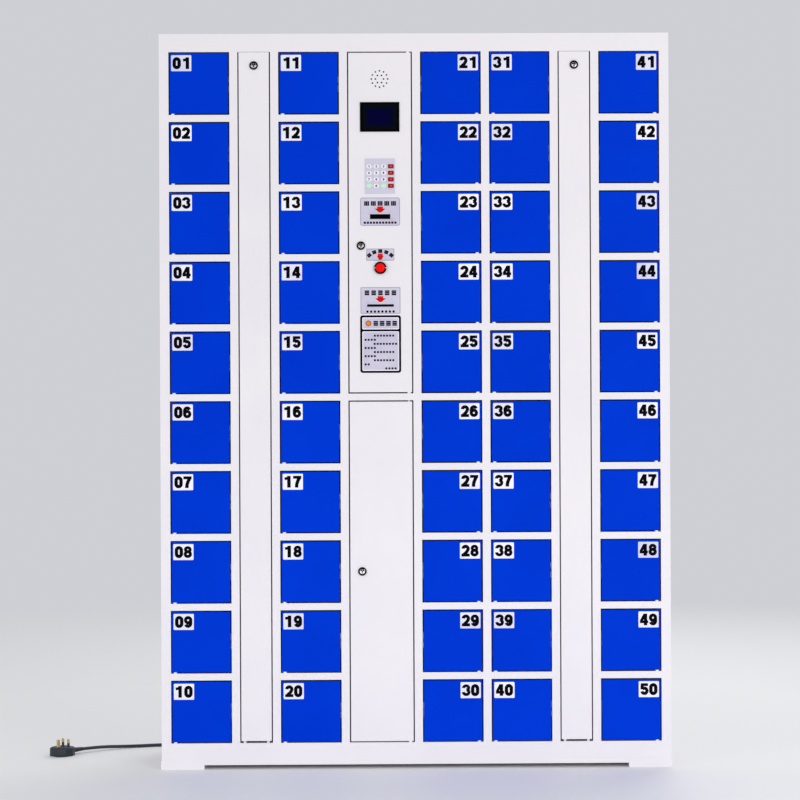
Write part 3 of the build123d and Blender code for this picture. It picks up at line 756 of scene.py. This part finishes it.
# %% Number plates
plate_width, plate_height, plate_thickness = 47.6 * MM, 37.6 * MM, 0.6 * MM
plate_from_hinge, plate_from_top = 3.5 * MM, 4.4 * MM
figure_pitch = 21.0 * MM
one_shifts = (2.0 * MM, 0.7 * MM)  # a narrow 1 stands further out, more so as first figure
front = min(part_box("door_01")[0].y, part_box("door_50")[0].y)
hinges = {joint["child"]: Vector(joint["pos_m"]) for joint in frame["joints"] if "pos_m" in joint}
plate_half = Vector((plate_width / 2, 0, plate_height / 2))
plate_model = block(
    "plate_model",
    -plate_half + OUT * plate_thickness,
    plate_half,
    plate_film,
    corner=2 * MM,
    rim=0.2 * MM,
)
for name in door_nodes:
    low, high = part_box(name)
    hinge_on_left = abs(hinges[name].x - low.x) < abs(hinges[name].x - high.x)
    offset = plate_from_hinge + plate_width / 2
    middle_x = low.x + offset if hinge_on_left else high.x - offset
    middle = Vector((middle_x, front, high.z - plate_from_top - plate_height / 2))
    number = name[-2:]
    pieces = [copy_to(plate_model, f"number_plate_{number}", middle)]
    for side, digit, one_shift in zip((-0.5, 0.5), number, one_shifts):
        outward = one_shift if digit == "1" and number != "11" else 0
        place = middle + OUT * plate_thickness
        place.x += side * (figure_pitch + 2 * outward)
        pieces.append(copy_to(figures[digit], f"digit_{number}", place))
    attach(join(f"number_plate_{number}", pieces), name)
bpy.data.objects.remove(plate_model)
print("number plates:", len(door_nodes))

# %% [markdown]
# ## Labels on the control door
# Flat films show a visitor where to scan, where to press and where the ticket comes out.
# Their words are left off. Plain bars and dots stand in the same places, so the films
# keep their dark and pale patches. A film with a window is a block that is cut along the
# window's four sides, whose front and back faces there are bridged into a hole. The arrow
# is a block whose lower face is widened and then drawn to a blunt point.

# %% Label helpers
# The second width is that of the darker rim round each label, which is painted shade.
film_thickness, shade_rim_width = 0.4 * MM, 1.3 * MM
body_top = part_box("cabinet_carcass")[1].z
control_low, control_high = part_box("control_door")
control_x = (control_low.x + control_high.x) / 2


def level(drop):
    """Height of a point given in millimetres below the top of the body."""
    return body_top - drop * MM


def film(name, drop, width, height, finish, corner=1 * MM, lift=0.0, thickness=film_thickness):
    """A thin film in the middle of the control door, lift metres off it."""
    half = Vector((width / 2, 0, height / 2))
    middle = Vector((control_x, front - lift, level(drop)))
    return block(name, middle - half + OUT * thickness, middle + half, finish, corner=corner)


def cut_window(piece, drop, width, height):
    """Cut a rectangular window through a film."""
    x, z = control_x, level(drop)
    sides = (x - width / 2, x + width / 2), (z - height / 2, z + height / 2)
    take(piece)
    for places, normal in zip(sides, ((1, 0, 0), (0, 0, 1))):
        for place in places:
            bpy.ops.object.mode_set(mode="EDIT")
            bpy.ops.mesh.select_all(action="SELECT")
            bpy.ops.mesh.bisect(plane_co=Vector(normal) * place, plane_no=normal)
    (left, right), (below, above) = sides
    pick(
        "FACE",
        lambda a, b: a.x > left - DEEP
        and b.x < right + DEEP
        and a.z > below - DEEP
        and b.z < above + DEEP,
    )
    bpy.ops.mesh.bridge_edge_loops()
    bpy.ops.object.mode_set(mode="OBJECT")


def label(name, drop, width, height, corner, window=None):
    """A lavender film with a darker rim of painted shade, and a window given as drop, width,
    height.
    """
    layers = [
        film(name, drop, width, height, painted_shade_rim, corner),
        film(
            name,
            drop,
            width - 2 * shade_rim_width,
            height - 2 * shade_rim_width,
            label_film,
            corner=max(corner - shade_rim_width, 0.5 * MM),
            lift=film_thickness - DEEP,
            thickness=2 * DEEP,
        ),
    ]
    if window:
        for layer in layers:
            cut_window(layer, *window)
    return layers


print("control column centre:", round(control_x, 4))

# %% Marks and arrows
label_printed = film_thickness + DEEP  # how far off the door the ink starts
ink = 0.10 * MM
bar_pitch, dot_clip = 0.37, 0.25  # shares of a mark's size
arrow_point, shaft_share = 6 * MM, 0.36  # its blunt point, and the shaft's share of its height


def bars_mark(size, upright, weight=0.32):
    """Three bars in a square about the origin, upright or level."""
    bars = []
    for place in (-1, 0, 1):
        half = Vector((size / 2, 0, size * weight / 2))
        middle = Vector((0, 0, place * size * bar_pitch))
        if upright:
            half, middle = half.zyx, middle.zyx
        bars.append(block("bar", middle - half + OUT * ink, middle + half, black_ink))
    return join("bars_mark", bars)


def dot_mark(size):
    """A square dot with clipped corners, about the origin."""
    half = Vector((size / 2, 0, size / 2))
    return block("dot_mark", -half + OUT * ink, half, black_ink, corner=size * dot_clip)


def row_of(mark, name, drop, count, pitch, shift=0.0, printed=label_printed):
    """Copies of a mark in a level row, its middle shifted along from the door's."""
    places = [control_x + shift + (k - (count - 1) / 2) * pitch for k in range(count)]
    return [copy_to(mark, name, (x, front - printed, level(drop))) for x in places]


def arrow(name, drop, width, shaft, height):
    """An arrow pointing down: a shaft whose lower face is widened and drawn to a point."""
    top, split = level(drop), level(drop) - height * shaft_share
    low = Vector((control_x - shaft / 2, front - label_printed - ink, split))
    high = Vector((control_x + shaft / 2, front - label_printed, top))
    block(name, low, high, red_ink)
    pick("FACE", lambda a, b: b.z < split + DEEP)
    middle = Vector((control_x, front - label_printed, split))
    bpy.ops.mesh.extrude_region_move()
    bpy.ops.transform.resize(value=(width / shaft, 1, 1), center_override=middle)
    drop_to_point = (0, 0, top - height - split)
    bpy.ops.mesh.extrude_region_move(TRANSFORM_OT_translate={"value": drop_to_point})
    bpy.ops.transform.resize(value=(arrow_point / width, 1, 1), center_override=middle)
    return settle(name, red_ink)


level_bars, upright_bars = bars_mark(10.8 * MM, False), bars_mark(10.8 * MM, True)
small_bars = bars_mark(8.6 * MM, True, weight=0.35)
dot, small_dot = dot_mark(5.2 * MM), dot_mark(4.8 * MM)
print("marks ready")

# %% Scan label
scan_drop, scan_window = 431.2, (48 * MM, 11.6 * MM)
scan_parts = label(
    "scan_label",
    drop=419.5,
    width=93.2 * MM,
    height=66 * MM,
    corner=5 * MM,
    window=(scan_drop, *scan_window),
)
scan_parts += row_of(upright_bars, "scan_mark", drop=400.2, count=5, pitch=15.8 * MM)
scan_parts += row_of(dot, "scan_dot", drop=445.5, count=11, pitch=7.2 * MM)
scan_parts.append(
    arrow("scan_arrow", drop=407.4, width=25 * MM, shaft=14 * MM, height=14 * MM)
)
scan_label = join("scan_label", scan_parts)
print("scan label:", len(scan_label.data.polygons), "faces")

# %% Ticket label
ticket_drop, ticket_slot = 640.5, (61.5 * MM, 4.3 * MM)
ticket_parts = label(
    "ticket_label",
    drop=628.5,
    width=93.4 * MM,
    height=62 * MM,
    corner=1.5 * MM,
    window=(ticket_drop, *ticket_slot),
)
ticket_parts += row_of(level_bars, "ticket_mark", drop=610.6, count=5, pitch=15.85 * MM)
ticket_parts += row_of(dot, "ticket_dot", drop=654.7, count=8, pitch=8.8 * MM)
ticket_parts.append(
    arrow("ticket_arrow", drop=618.4, width=25 * MM, shaft=13 * MM, height=13.8 * MM)
)
lip_lap_x, lip_lap_z = 1.2 * MM, 1.3 * MM  # how much larger than the slot the lips are
lip_gap, lip_end = 1.4 * MM, 2 * MM  # the mouth between the lips, and their closed ends
ticket_lips = film(
    "ticket_lips",
    ticket_drop,
    ticket_slot[0] + lip_lap_x,
    ticket_slot[1] + lip_lap_z,
    black_ink,
    lift=-0.9 * MM,
    thickness=1.5 * MM,
)
cut_window(ticket_lips, ticket_drop, ticket_slot[0] - 2 * lip_end, lip_gap)
ticket_parts.append(ticket_lips)
ticket_label = join("ticket_label", ticket_parts)
print("ticket label:", len(ticket_label.data.polygons), "faces")

# %% Press label
button_z = level(552)
press_parts = label("press_label", drop=520.6, width=65.5 * MM, height=28 * MM, corner=1.5 * MM)
press_parts.append(
    arrow("press_arrow", drop=518.4, width=16 * MM, shaft=12 * MM, height=14.6 * MM)
)
mark_radius = 39.5 * MM  # the marks stand on an arc round the button
for turn in (-41, -21, 0, 21, 41):
    mark = copy_to(small_bars, "press_mark", (0, 0, mark_radius))
    mark.data.transform(Matrix.Rotation(math.radians(turn), 4, "Y"))
    mark.data.transform(Matrix.Translation((control_x, front - label_printed, button_z)))
    press_parts.append(mark)
press_label = join("press_label", press_parts)
print("press label:", len(press_label.data.polygons), "faces")

# %% [markdown]
# ## The notice
# Below the labels hangs a framed notice. Its wording and its sign are left off. It is a
# blank form: a dark border with round corners, a pale margin, a header with a plain
# amber disc and four bars, and rows of dots below.

# %% Notice sheets
notice_width, notice_height, notice_drop = 96 * MM, 135.4 * MM, 731.25
border, margin, rule = 4.9, 1.9, 4.8  # in millimetres, as every drop is
notice_parts = [
    film("notice", notice_drop, notice_width, notice_height, black_ink, corner=6 * MM)
]


def sheet(top, foot, width, finish, corner):
    """One pale layer of the notice, between two drops below the body's top."""
    middle, height = (top + foot) / 2, (foot - top) * MM
    lift = film_thickness + DEEP * (len(notice_parts) - 1)
    notice_parts.append(film("notice", middle, width, height, finish, corner, lift, 2 * DEEP))


notice_top = notice_drop - notice_height / MM / 2
notice_foot = notice_drop + notice_height / MM / 2
header_rule = 699.0
header = (notice_top + border, header_rule - rule / 2)
page = (header_rule + rule / 2, notice_foot - border)
inside = notice_width - 2 * border * MM
for top, foot in (header, page):
    sheet(top, foot, inside, white_film, corner=2.5 * MM)
for top, foot in (header, page):
    sheet(top + margin, foot - margin, inside - 2 * margin * MM, label_film, corner=1 * MM)
print("notice layers:", len(notice_parts))

# %% Notice marks
notice_printed = film_thickness + 4 * DEEP
header_middle = sum(header) / 2
notice_parts += row_of(
    level_bars, "notice_mark", header_middle, 4, 14.8 * MM, 11 * MM, notice_printed
)
disc_place = (control_x - 28.5 * MM, 0, level(header_middle))
disc_start = notice_printed - front
for radius, disc_end, finish in (
    (6.6 * MM, disc_start + ink, black_ink),
    (5.4 * MM, disc_start + 2 * ink, amber_ink),
):
    disc_rings = [(disc_start, radius), (disc_end, radius)]
    notice_parts.append(turned("notice_disc", disc_place, OUT, disc_rings, finish, sides=32))
row_pitch, first_row, dot_pitch = 9.65, 711.4, 7.2 * MM
long_row, short_row = (7, 8), (4, -24.6)  # number of dots, shift of their middle in mm
form_rows = [long_row, short_row, (8, 11), short_row, long_row, short_row, long_row]
for row, (count, shift) in enumerate(form_rows + [(2, -32), (4, 24)]):
    drop = first_row + row * row_pitch
    notice_parts += row_of(
        small_dot, "notice_dot", drop, count, dot_pitch, shift * MM, notice_printed
    )
notice = join("notice", notice_parts)
for model in (level_bars, upright_bars, small_bars, dot, small_dot):
    bpy.data.objects.remove(model)
print("notice:", len(notice.data.polygons), "faces")

# %% [markdown]
# ## Keypad
# The CAD membrane and its sixteen raised pads have the right places. Each pad gets a soft
# rounded cap: white for the figures, green for two corners, and red, a little wider, for
# the last column. The white caps carry the ordinary figures 1 to 9 and 0, and each red
# cap carries an orange spot.

# %% Keypad
keypad_drop, key_pitch_x, key_pitch_z = 336, 17.2 * MM, 15.3 * MM
key_width, red_key_width, key_height = 12.6 * MM, 13.8 * MM, 10.0 * MM
membrane_front, pad_front, key_lift = 1.2 * MM, 1.8 * MM, 0.5 * MM
key_corner, key_rim, legend_scale = 2.4 * MM, 0.35 * MM, 0.19
spot_half, spot_corner = Vector((2.2 * MM, 0, 1.9 * MM)), 0.8 * MM
keypad_parts = [
    film(
        "keypad_membrane",
        keypad_drop,
        width=70.4 * MM,
        height=82.9 * MM,
        finish=keypad_film,
        corner=2 * MM,
        thickness=membrane_front + 0.1 * MM,
    )
]
legends = "123 456 789  0  "  # four keys to a row
for place, legend in enumerate(legends):
    row, column = divmod(place, 4)
    across, up = (column - 1.5) * key_pitch_x, (1.5 - row) * key_pitch_z
    middle = Vector((control_x + across, front, level(keypad_drop) + up))
    red, green = column == 3, row == 3 and column in (0, 2)
    finish = red_key if red else green_key if green else white_key
    half = Vector(((red_key_width if red else key_width) / 2, 0, key_height / 2))
    face = middle + OUT * (pad_front + key_lift)
    low, high = face - half, middle + half + OUT * membrane_front
    keypad_parts.append(block("key", low, high, finish, corner=key_corner, rim=key_rim))
    if legend in figures:
        keypad_parts.append(copy_to(figures[legend], "legend", face, legend_scale))
    if red:
        low, high = face - spot_half + OUT * ink, face + spot_half
        keypad_parts.append(block("key_spot", low, high, orange_ink, corner=spot_corner))
keypad = join("keypad_membrane", keypad_parts)
print("keypad:", len(keypad.data.polygons), "faces")

# %% [markdown]
# ## Display
# A black glass pane lies on the CAD bezel with a thin step round it. The crystal layer
# behind it is a navy field that fades into the black frame, so its colour is a mix whose
# mask rises across the field's edge.

# %% Display
display_drop, display_proud = 196.6, 1.5 * MM
pane_width, pane_height = 92.7 * MM, 69.7 * MM
pane_thickness = display_proud + 0.5 * MM
field_width, field_height, fade = 60 * MM, 40 * MM, 7 * MM
rim_width, rim_height = 14 * MM, 10 * MM  # the pane's plain rim, both sides together
surface_place = {"Vector": screen_field.place()}
place_x = screen_field.node("ShaderNodeSeparateXYZ", {}, surface_place, "X")
place_z = screen_field.node("ShaderNodeSeparateXYZ", {}, surface_place, "Z")
from_side = abs(place_x - control_x) - field_width / 2
from_top = abs(place_z - level(display_drop)) - field_height / 2
outside = from_side.maths("MAXIMUM", from_side, from_top)
field_mask = screen_field.spread(outside, -fade, fade)
screen_field.feed("Base Color", screen_field.mix(field_mask, rgba(0, 0, 46), rgba(5, 9, 9)))
screen_parts = [
    film(
        "screen_pane",
        display_drop,
        pane_width,
        pane_height,
        screen_glass,
        corner=1.2 * MM,
        thickness=pane_thickness,
    ),
    film(
        "screen_field",
        display_drop,
        pane_width - rim_width,
        pane_height - rim_height,
        screen_field,
        corner=0.6 * MM,
        lift=pane_thickness - DEEP,
        thickness=2 * DEEP,
    ),
]
screen = join("screen_pane", screen_parts)
print("display:", len(screen.data.polygons), "faces")

# %% [markdown]
# ## Scan window
# The reader looks out through a dark pane, set back in the label's window. It is a film
# like the others, a little larger than the window, so that its edge stays hidden.

# %% Scan window
pane_lap, pane_setback = 1 * MM, 1.0 * MM
scan_pane = film(
    "scan_pane",
    scan_drop,
    scan_window[0] + pane_lap,
    scan_window[1] + pane_lap,
    screen_glass,
    lift=-pane_setback,
    thickness=1.2 * MM,
)
print("scan pane set back", pane_setback, "m in its window")

# %% [markdown]
# ## Push button
# The button's cap is gently domed, which a flat CAD cap is not. It is turned ring by
# ring and takes the CAD cap's place. The bezel round it gets a beveled collar with a pale
# painted highlight at either side.

# %% Push button
button_middle = (control_x, 0, button_z)
cap_low, cap_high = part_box("push_button")
cap_radius, stem_radius, dome, cap_edge = 10.7 * MM, 3.5 * MM, 1.0 * MM, 0.8 * MM
cap_back, cap_front = front - 4.55 * MM, cap_low.y
cap_rings = [
    (-cap_high.y, stem_radius),
    (-cap_back, stem_radius),
    (-cap_back, cap_radius),
    (-cap_front - dome - cap_edge, cap_radius),
    (-cap_front - dome, cap_radius - 0.5 * MM),
    (-cap_front - 0.45 * dome, cap_radius * 0.72),
    (-cap_front - 0.12 * dome, cap_radius * 0.40),
    (-cap_front, cap_radius * 0.10),
]
button_cap = turned("button_cap", button_middle, OUT, cap_rings, red_plastic, sides=64, smooth=50)
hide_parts("push_button")
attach(button_cap, "push_button")
print("button cap from", round(cap_back, 4), "to", round(cap_front, 4))

# %% Button collar
collar_inner, collar_outer = cap_radius + 0.35 * MM, 14.6 * MM
collar_face = front - 6.3 * MM
highlight_from_middle, highlight_half = 13.1 * MM, Vector((1.3 * MM, 0, 0.9 * MM))
collar_parts = [
    ring(
        "button_collar",
        button_middle,
        collar_inner,
        collar_outer,
        front,
        collar_face,
        black_gloss,
        sides=64,
        edge=0.8 * MM,
    )
]
# Two pale nylon bits on the collar's face, left and right, are painted highlights.
for side in (-1, 1):
    middle = Vector((control_x + side * highlight_from_middle, collar_face, button_z))
    low, high = middle - highlight_half + OUT * ink, middle + highlight_half
    collar_parts.append(block("collar_painted_highlight", low, high, nylon))
button_collar = join("button_collar", collar_parts)
print("button collar:", len(button_collar.data.polygons), "faces")

# %% [markdown]
# ## Cam locks
# Four key locks: one on each service cover, one on each door of the control column. A
# black ring stands round a black cup that holds the bright plug. A black plate over the
# upper half of the plug is a painted dark reflection, a small bright nickel block on it is
# a painted glint, and the keyway shows below it.

# %% Cam locks
lock_from_edge, cover_lock_drop = 28 * MM, 74.8
lock_places = {
    "control_door": (control_low.x + lock_from_edge, level(499.5)),
    "lower_door": (control_low.x + lock_from_edge, level(1266)),
}
for name in cover_nodes:
    low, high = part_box(name)
    lock_places[name] = ((low.x + high.x) / 2, level(cover_lock_drop))
plug_radius, cup_radius, rim_radius = 6.0 * MM, 7.7 * MM, 10.1 * MM
face = -front + 2.5 * MM  # how far out the plug's face stands
rim_proud, dark_half_proud, keyway_proud = 0.6 * MM, 0.75 * MM, 0.5 * MM
dark_half_foot, dark_half_taper = 0.4 * MM, 0.35  # above the middle, and its top's share of width
cup_rings = [(-front, cup_radius), (face + 0.1 * MM, cup_radius)]
plug_rings = [
    (face, plug_radius),
    (face + 0.3 * MM, plug_radius),
    (face + 0.5 * MM, plug_radius - 0.4 * MM),
    (face + 0.4 * MM, plug_radius - 1.6 * MM),
]
keyway_half, keyway_drop = Vector((1.2 * MM, 0, 3.4 * MM)), 1.0 * MM
glint_half, glint_left, glint_up = Vector((1.0 * MM, 0, 0.7 * MM)), 0.4 * MM, 3.6 * MM


def lock_face(x, z):
    """The pieces of one lock, centred on x, z."""
    centre, inner, end = (x, 0, z), cup_radius - 0.1 * MM, -face - rim_proud
    rim = ring("lock_rim", centre, inner, rim_radius, front, end, black_gloss, edge=0.8 * MM)
    cup = turned("lock_cup", centre, OUT, cup_rings, black_gloss)
    lock_plug = turned("lock_plug", centre, OUT, plug_rings, nickel)
    # The black plate over the plug's upper half is a painted dark reflection, and the small nickel
    # block on it is a painted glint.
    dark_half_low = Vector((x - plug_radius, -face - dark_half_proud, z + dark_half_foot))
    dark_half_high = Vector((x + plug_radius, -face, z + plug_radius))
    block("lock_painted_dark_half", dark_half_low, dark_half_high, black_gloss)
    pick("FACE", lambda a, b: a.z > dark_half_high.z - DEEP)
    bpy.ops.transform.resize(value=(dark_half_taper, 1, 1), center_override=centre)
    painted_dark_half = settle("lock_painted_dark_half", black_gloss)
    middle = Vector((x, -face - keyway_proud, z - keyway_drop))
    low, high = middle - keyway_half + OUT * DEEP, middle + keyway_half
    keyway = block("keyway", low, high, black_ink, corner=1.0 * MM)
    middle = Vector((x - glint_left, -face - dark_half_proud, z + glint_up))
    lock_painted_glint = block("lock_painted_glint", middle - glint_half + OUT * DEEP, middle + glint_half, nickel)
    return [rim, cup, lock_plug, painted_dark_half, keyway, lock_painted_glint]


for body, place in lock_places.items():
    lock = join(f"{body}_lock_face", lock_face(*place))
    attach(lock, body)
print("cam locks:", sorted(lock_places))

# %% [markdown]
# ## Pivot washers
# Each hung leaf stands on a white nylon washer round its rod. Only its edge shows, in
# the slit under the leaf, and the control door has one over it too. A thinner black
# sleeve round the rod fills the slit over each phone door: painted shade, so that the slit
# reads dark. All of them stay with the cabinet.

# %% Pivot washers
leaf_gap, rod_hole = 3.0 * MM, 6.1 * MM
washer_play = 0.02 * leaf_gap  # keeps a washer just clear of the leaves
washer_width, shade_sleeve_width = 8.8 * MM, 7.2 * MM
foot_spots = [(hinges[name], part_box(name)[0].z) for name in (*door_nodes, "control_door")]
foot_spots.append((hinges["lower_door"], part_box("lower_door")[0].z))
foot_spots.append((hinges["control_door"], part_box("control_door")[1].z + leaf_gap))
head_spots = [(hinges[name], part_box(name)[1].z + leaf_gap) for name in door_nodes]


def washer_set(name, outer, finish, spots):
    """A ring round the rod in every slit named, its top at the height given."""
    start, end = washer_play - leaf_gap, -washer_play
    model = ring("washer_model", (0, 0, 0), rod_hole / 2, outer / 2, start, end, finish, sides=24)
    model.data.transform(Matrix.Rotation(math.radians(90), 4, "X"))
    rings = [copy_to(model, name, Vector((place.x, place.y, top))) for place, top in spots]
    bpy.data.objects.remove(model)
    washers = join(name, rings)
    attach(washers, "cabinet")


washer_set("pivot_washers", washer_width, nylon, foot_spots)
# The black sleeves are painted shade in the slit over each phone door.
washer_set("pivot_shade_sleeves", shade_sleeve_width, black_plastic, head_spots)
print("washers:", len(foot_spots), "sleeves:", len(head_spots))

# %% [markdown]
# ## Back rivets
# The back sheet is held to the frame by pop rivets along its four edges. A rivet is a
# low dome with the dimple of its snapped stem, turned once and copied round the sheet.

# %% Back rivets
back_low, back_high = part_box("cabinet_carcass")
back_face, foot_height = 150 * MM, 10 * MM
rivet_inset, rivet_radius = 14 * MM, 3.3 * MM
rivet_rings = [
    (-DEEP, rivet_radius),
    (0.3 * MM, rivet_radius),
    (0.8 * MM, rivet_radius * 0.8),
    (1.05 * MM, rivet_radius * 0.5),
    (1.1 * MM, rivet_radius * 0.36),
    (0.6 * MM, rivet_radius * 0.3),
]
rivet = turned("rivet_model", (0, 0, 0), -OUT, rivet_rings, white_coat, sides=16)
left, right = back_low.x + rivet_inset, back_high.x - rivet_inset
below, above = foot_height + rivet_inset, back_high.z - rivet_inset
columns, rows = 6, 9
rivet_spots = []
for k in range(rows + 1):
    z = below + (above - below) * k / rows
    rivet_spots += [(left, z), (right, z)]
for k in range(1, columns):
    x = left + (right - left) * k / columns
    rivet_spots += [(x, below), (x, above)]
rivets = [copy_to(rivet, "back_rivet", (x, back_face, z)) for x, z in rivet_spots]
bpy.data.objects.remove(rivet)
back_rivets = join("back_rivets", rivets)
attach(back_rivets, "cabinet")
print("back rivets:", len(rivet_spots))

# %% [markdown]
# ## What rides on the control door
# Everything on the control door's face swings with it.

# %% Ride
control_pieces = [
    scan_label,
    ticket_label,
    press_label,
    notice,
    keypad,
    screen,
    scan_pane,
    button_collar,
]
for piece in control_pieces:
    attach(piece, "control_door")
for digit in figures.values():
    bpy.data.objects.remove(digit)
print("pieces on the control door:", len(control_pieces))

# %% [markdown]
# ## Floor
# A plain pale floor holds the cabinet's shadow. It is a wide disc that fades into the
# background, so that no horizon is seen.

# %% Floor
backdrop = srgb(205, 207, 212)
floor_radius, fade_start, fade_end = 12, 1.6, 4.4  # in metres
clear_selection()
bpy.ops.mesh.primitive_circle_add(
    vertices=64, radius=floor_radius, fill_type="NGON", location=(0, 0, 0)
)
floor = bpy.context.object
floor.name = "floor"
floor_paint = Finish("floor_paint", srgb(238, 239, 241), 0.6)
from_middle = floor_paint.node(
    "ShaderNodeVectorMath", {"operation": "LENGTH"}, {0: floor_paint.place()}, 1
)
floor_fade = floor_paint.spread(from_middle, fade_start, fade_end)
paint_shader = Socket(floor_paint, floor_paint.shader.outputs[0])
clear_shader = floor_paint.node("ShaderNodeBsdfTransparent", {}, {})
faded = floor_paint.node(
    "ShaderNodeMixShader", {}, {0: floor_fade, 1: paint_shader, 2: clear_shader}
)
floor_paint.link(floor_paint.tree.nodes["Material Output"].inputs["Surface"], faded)
dress(floor, floor_paint)
floor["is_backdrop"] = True
print("floor radius", floor_radius, "m")

# %% [markdown]
# ## Light
# Plain studio light: an even world for the shadows' fill, a large key lamp on the right, a
# weaker one on the left, one behind for the back, and a long low strip that lifts the foot
# of the cabinet, which the floor leaves darker. The camera, mirrors and glass see the
# backdrop's colour instead of the fill, and the camera sees no lamp.

# %% World
fill_strength = 0.64
world = bpy.data.worlds.new("studio")
bpy.context.scene.world = world
world.use_nodes = True
sky = world.node_tree


def sky_node(kind, *outputs, **settings):
    """A node of the world, its first sockets linked to the outputs given."""
    made = sky.nodes.new(kind)
    for name, value in settings.items():
        setattr(made, name, value)
    for socket, output in zip(made.inputs, outputs):
        sky.links.new(output, socket)
    return made


fill = sky.nodes["Background"]
fill.inputs["Color"].default_value = (1, 1, 1, 1)
fill.inputs["Strength"].default_value = fill_strength
seen = sky_node("ShaderNodeBackground")
seen.inputs["Color"].default_value = (*backdrop, 1)
ray = sky_node("ShaderNodeLightPath").outputs
either = sky_node(
    "ShaderNodeMath", ray["Is Camera Ray"], ray["Is Glossy Ray"], operation="ADD"
)
also = sky_node(
    "ShaderNodeMath",
    either.outputs[0],
    ray["Is Transmission Ray"],
    operation="ADD",
    use_clamp=True,
)
choose = sky_node("ShaderNodeMixShader", also.outputs[0], fill.outputs[0], seen.outputs[0])
sky.links.new(choose.outputs[0], sky.nodes["World Output"].inputs["Surface"])
print("world ready")

# %% Lamps
lamps = (  # place, the point it is aimed at, width, height, watts
    ("key", (2.8, -4.8, 1.6), (0, 0, 0.75), 3.0, 3.0, 82.0),
    ("side", (-3.8, -4.0, 1.6), (0, 0, 0.75), 3.0, 3.0, 46.0),
    ("low", (0.0, -1.9, 0.28), (0, 0, 0.2), 2.4, 0.3, 0.75),
    ("rear", (1.5, 3.6, 3.2), (0, 0, 0.85), 3.0, 3.0, 60.0),
)
for name, place, aim, width, height, watts in lamps:
    way = Vector(aim) - Vector(place)
    bpy.ops.object.light_add(
        type="AREA", location=place, rotation=way.to_track_quat("-Z", "Y").to_euler()
    )
    lamp = bpy.context.object
    lamp.name, lamp.data.shape, lamp.data.energy = name, "RECTANGLE", watts
    lamp.data.size, lamp.data.size_y = width, height
    lamp.visible_camera = False
    if name == "low":
        lamp.data.spread = math.radians(80)  # a narrow beam, to keep it off the floor
bpy.context.scene.view_settings.view_transform = "Standard"
print("lamps:", [name for name, *_ in lamps])

# %% [markdown]
# ## The visual box
# The box round every visible piece is printed.

# %% Finish
low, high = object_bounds()
print("visual box:", tuple(low), tuple(high))
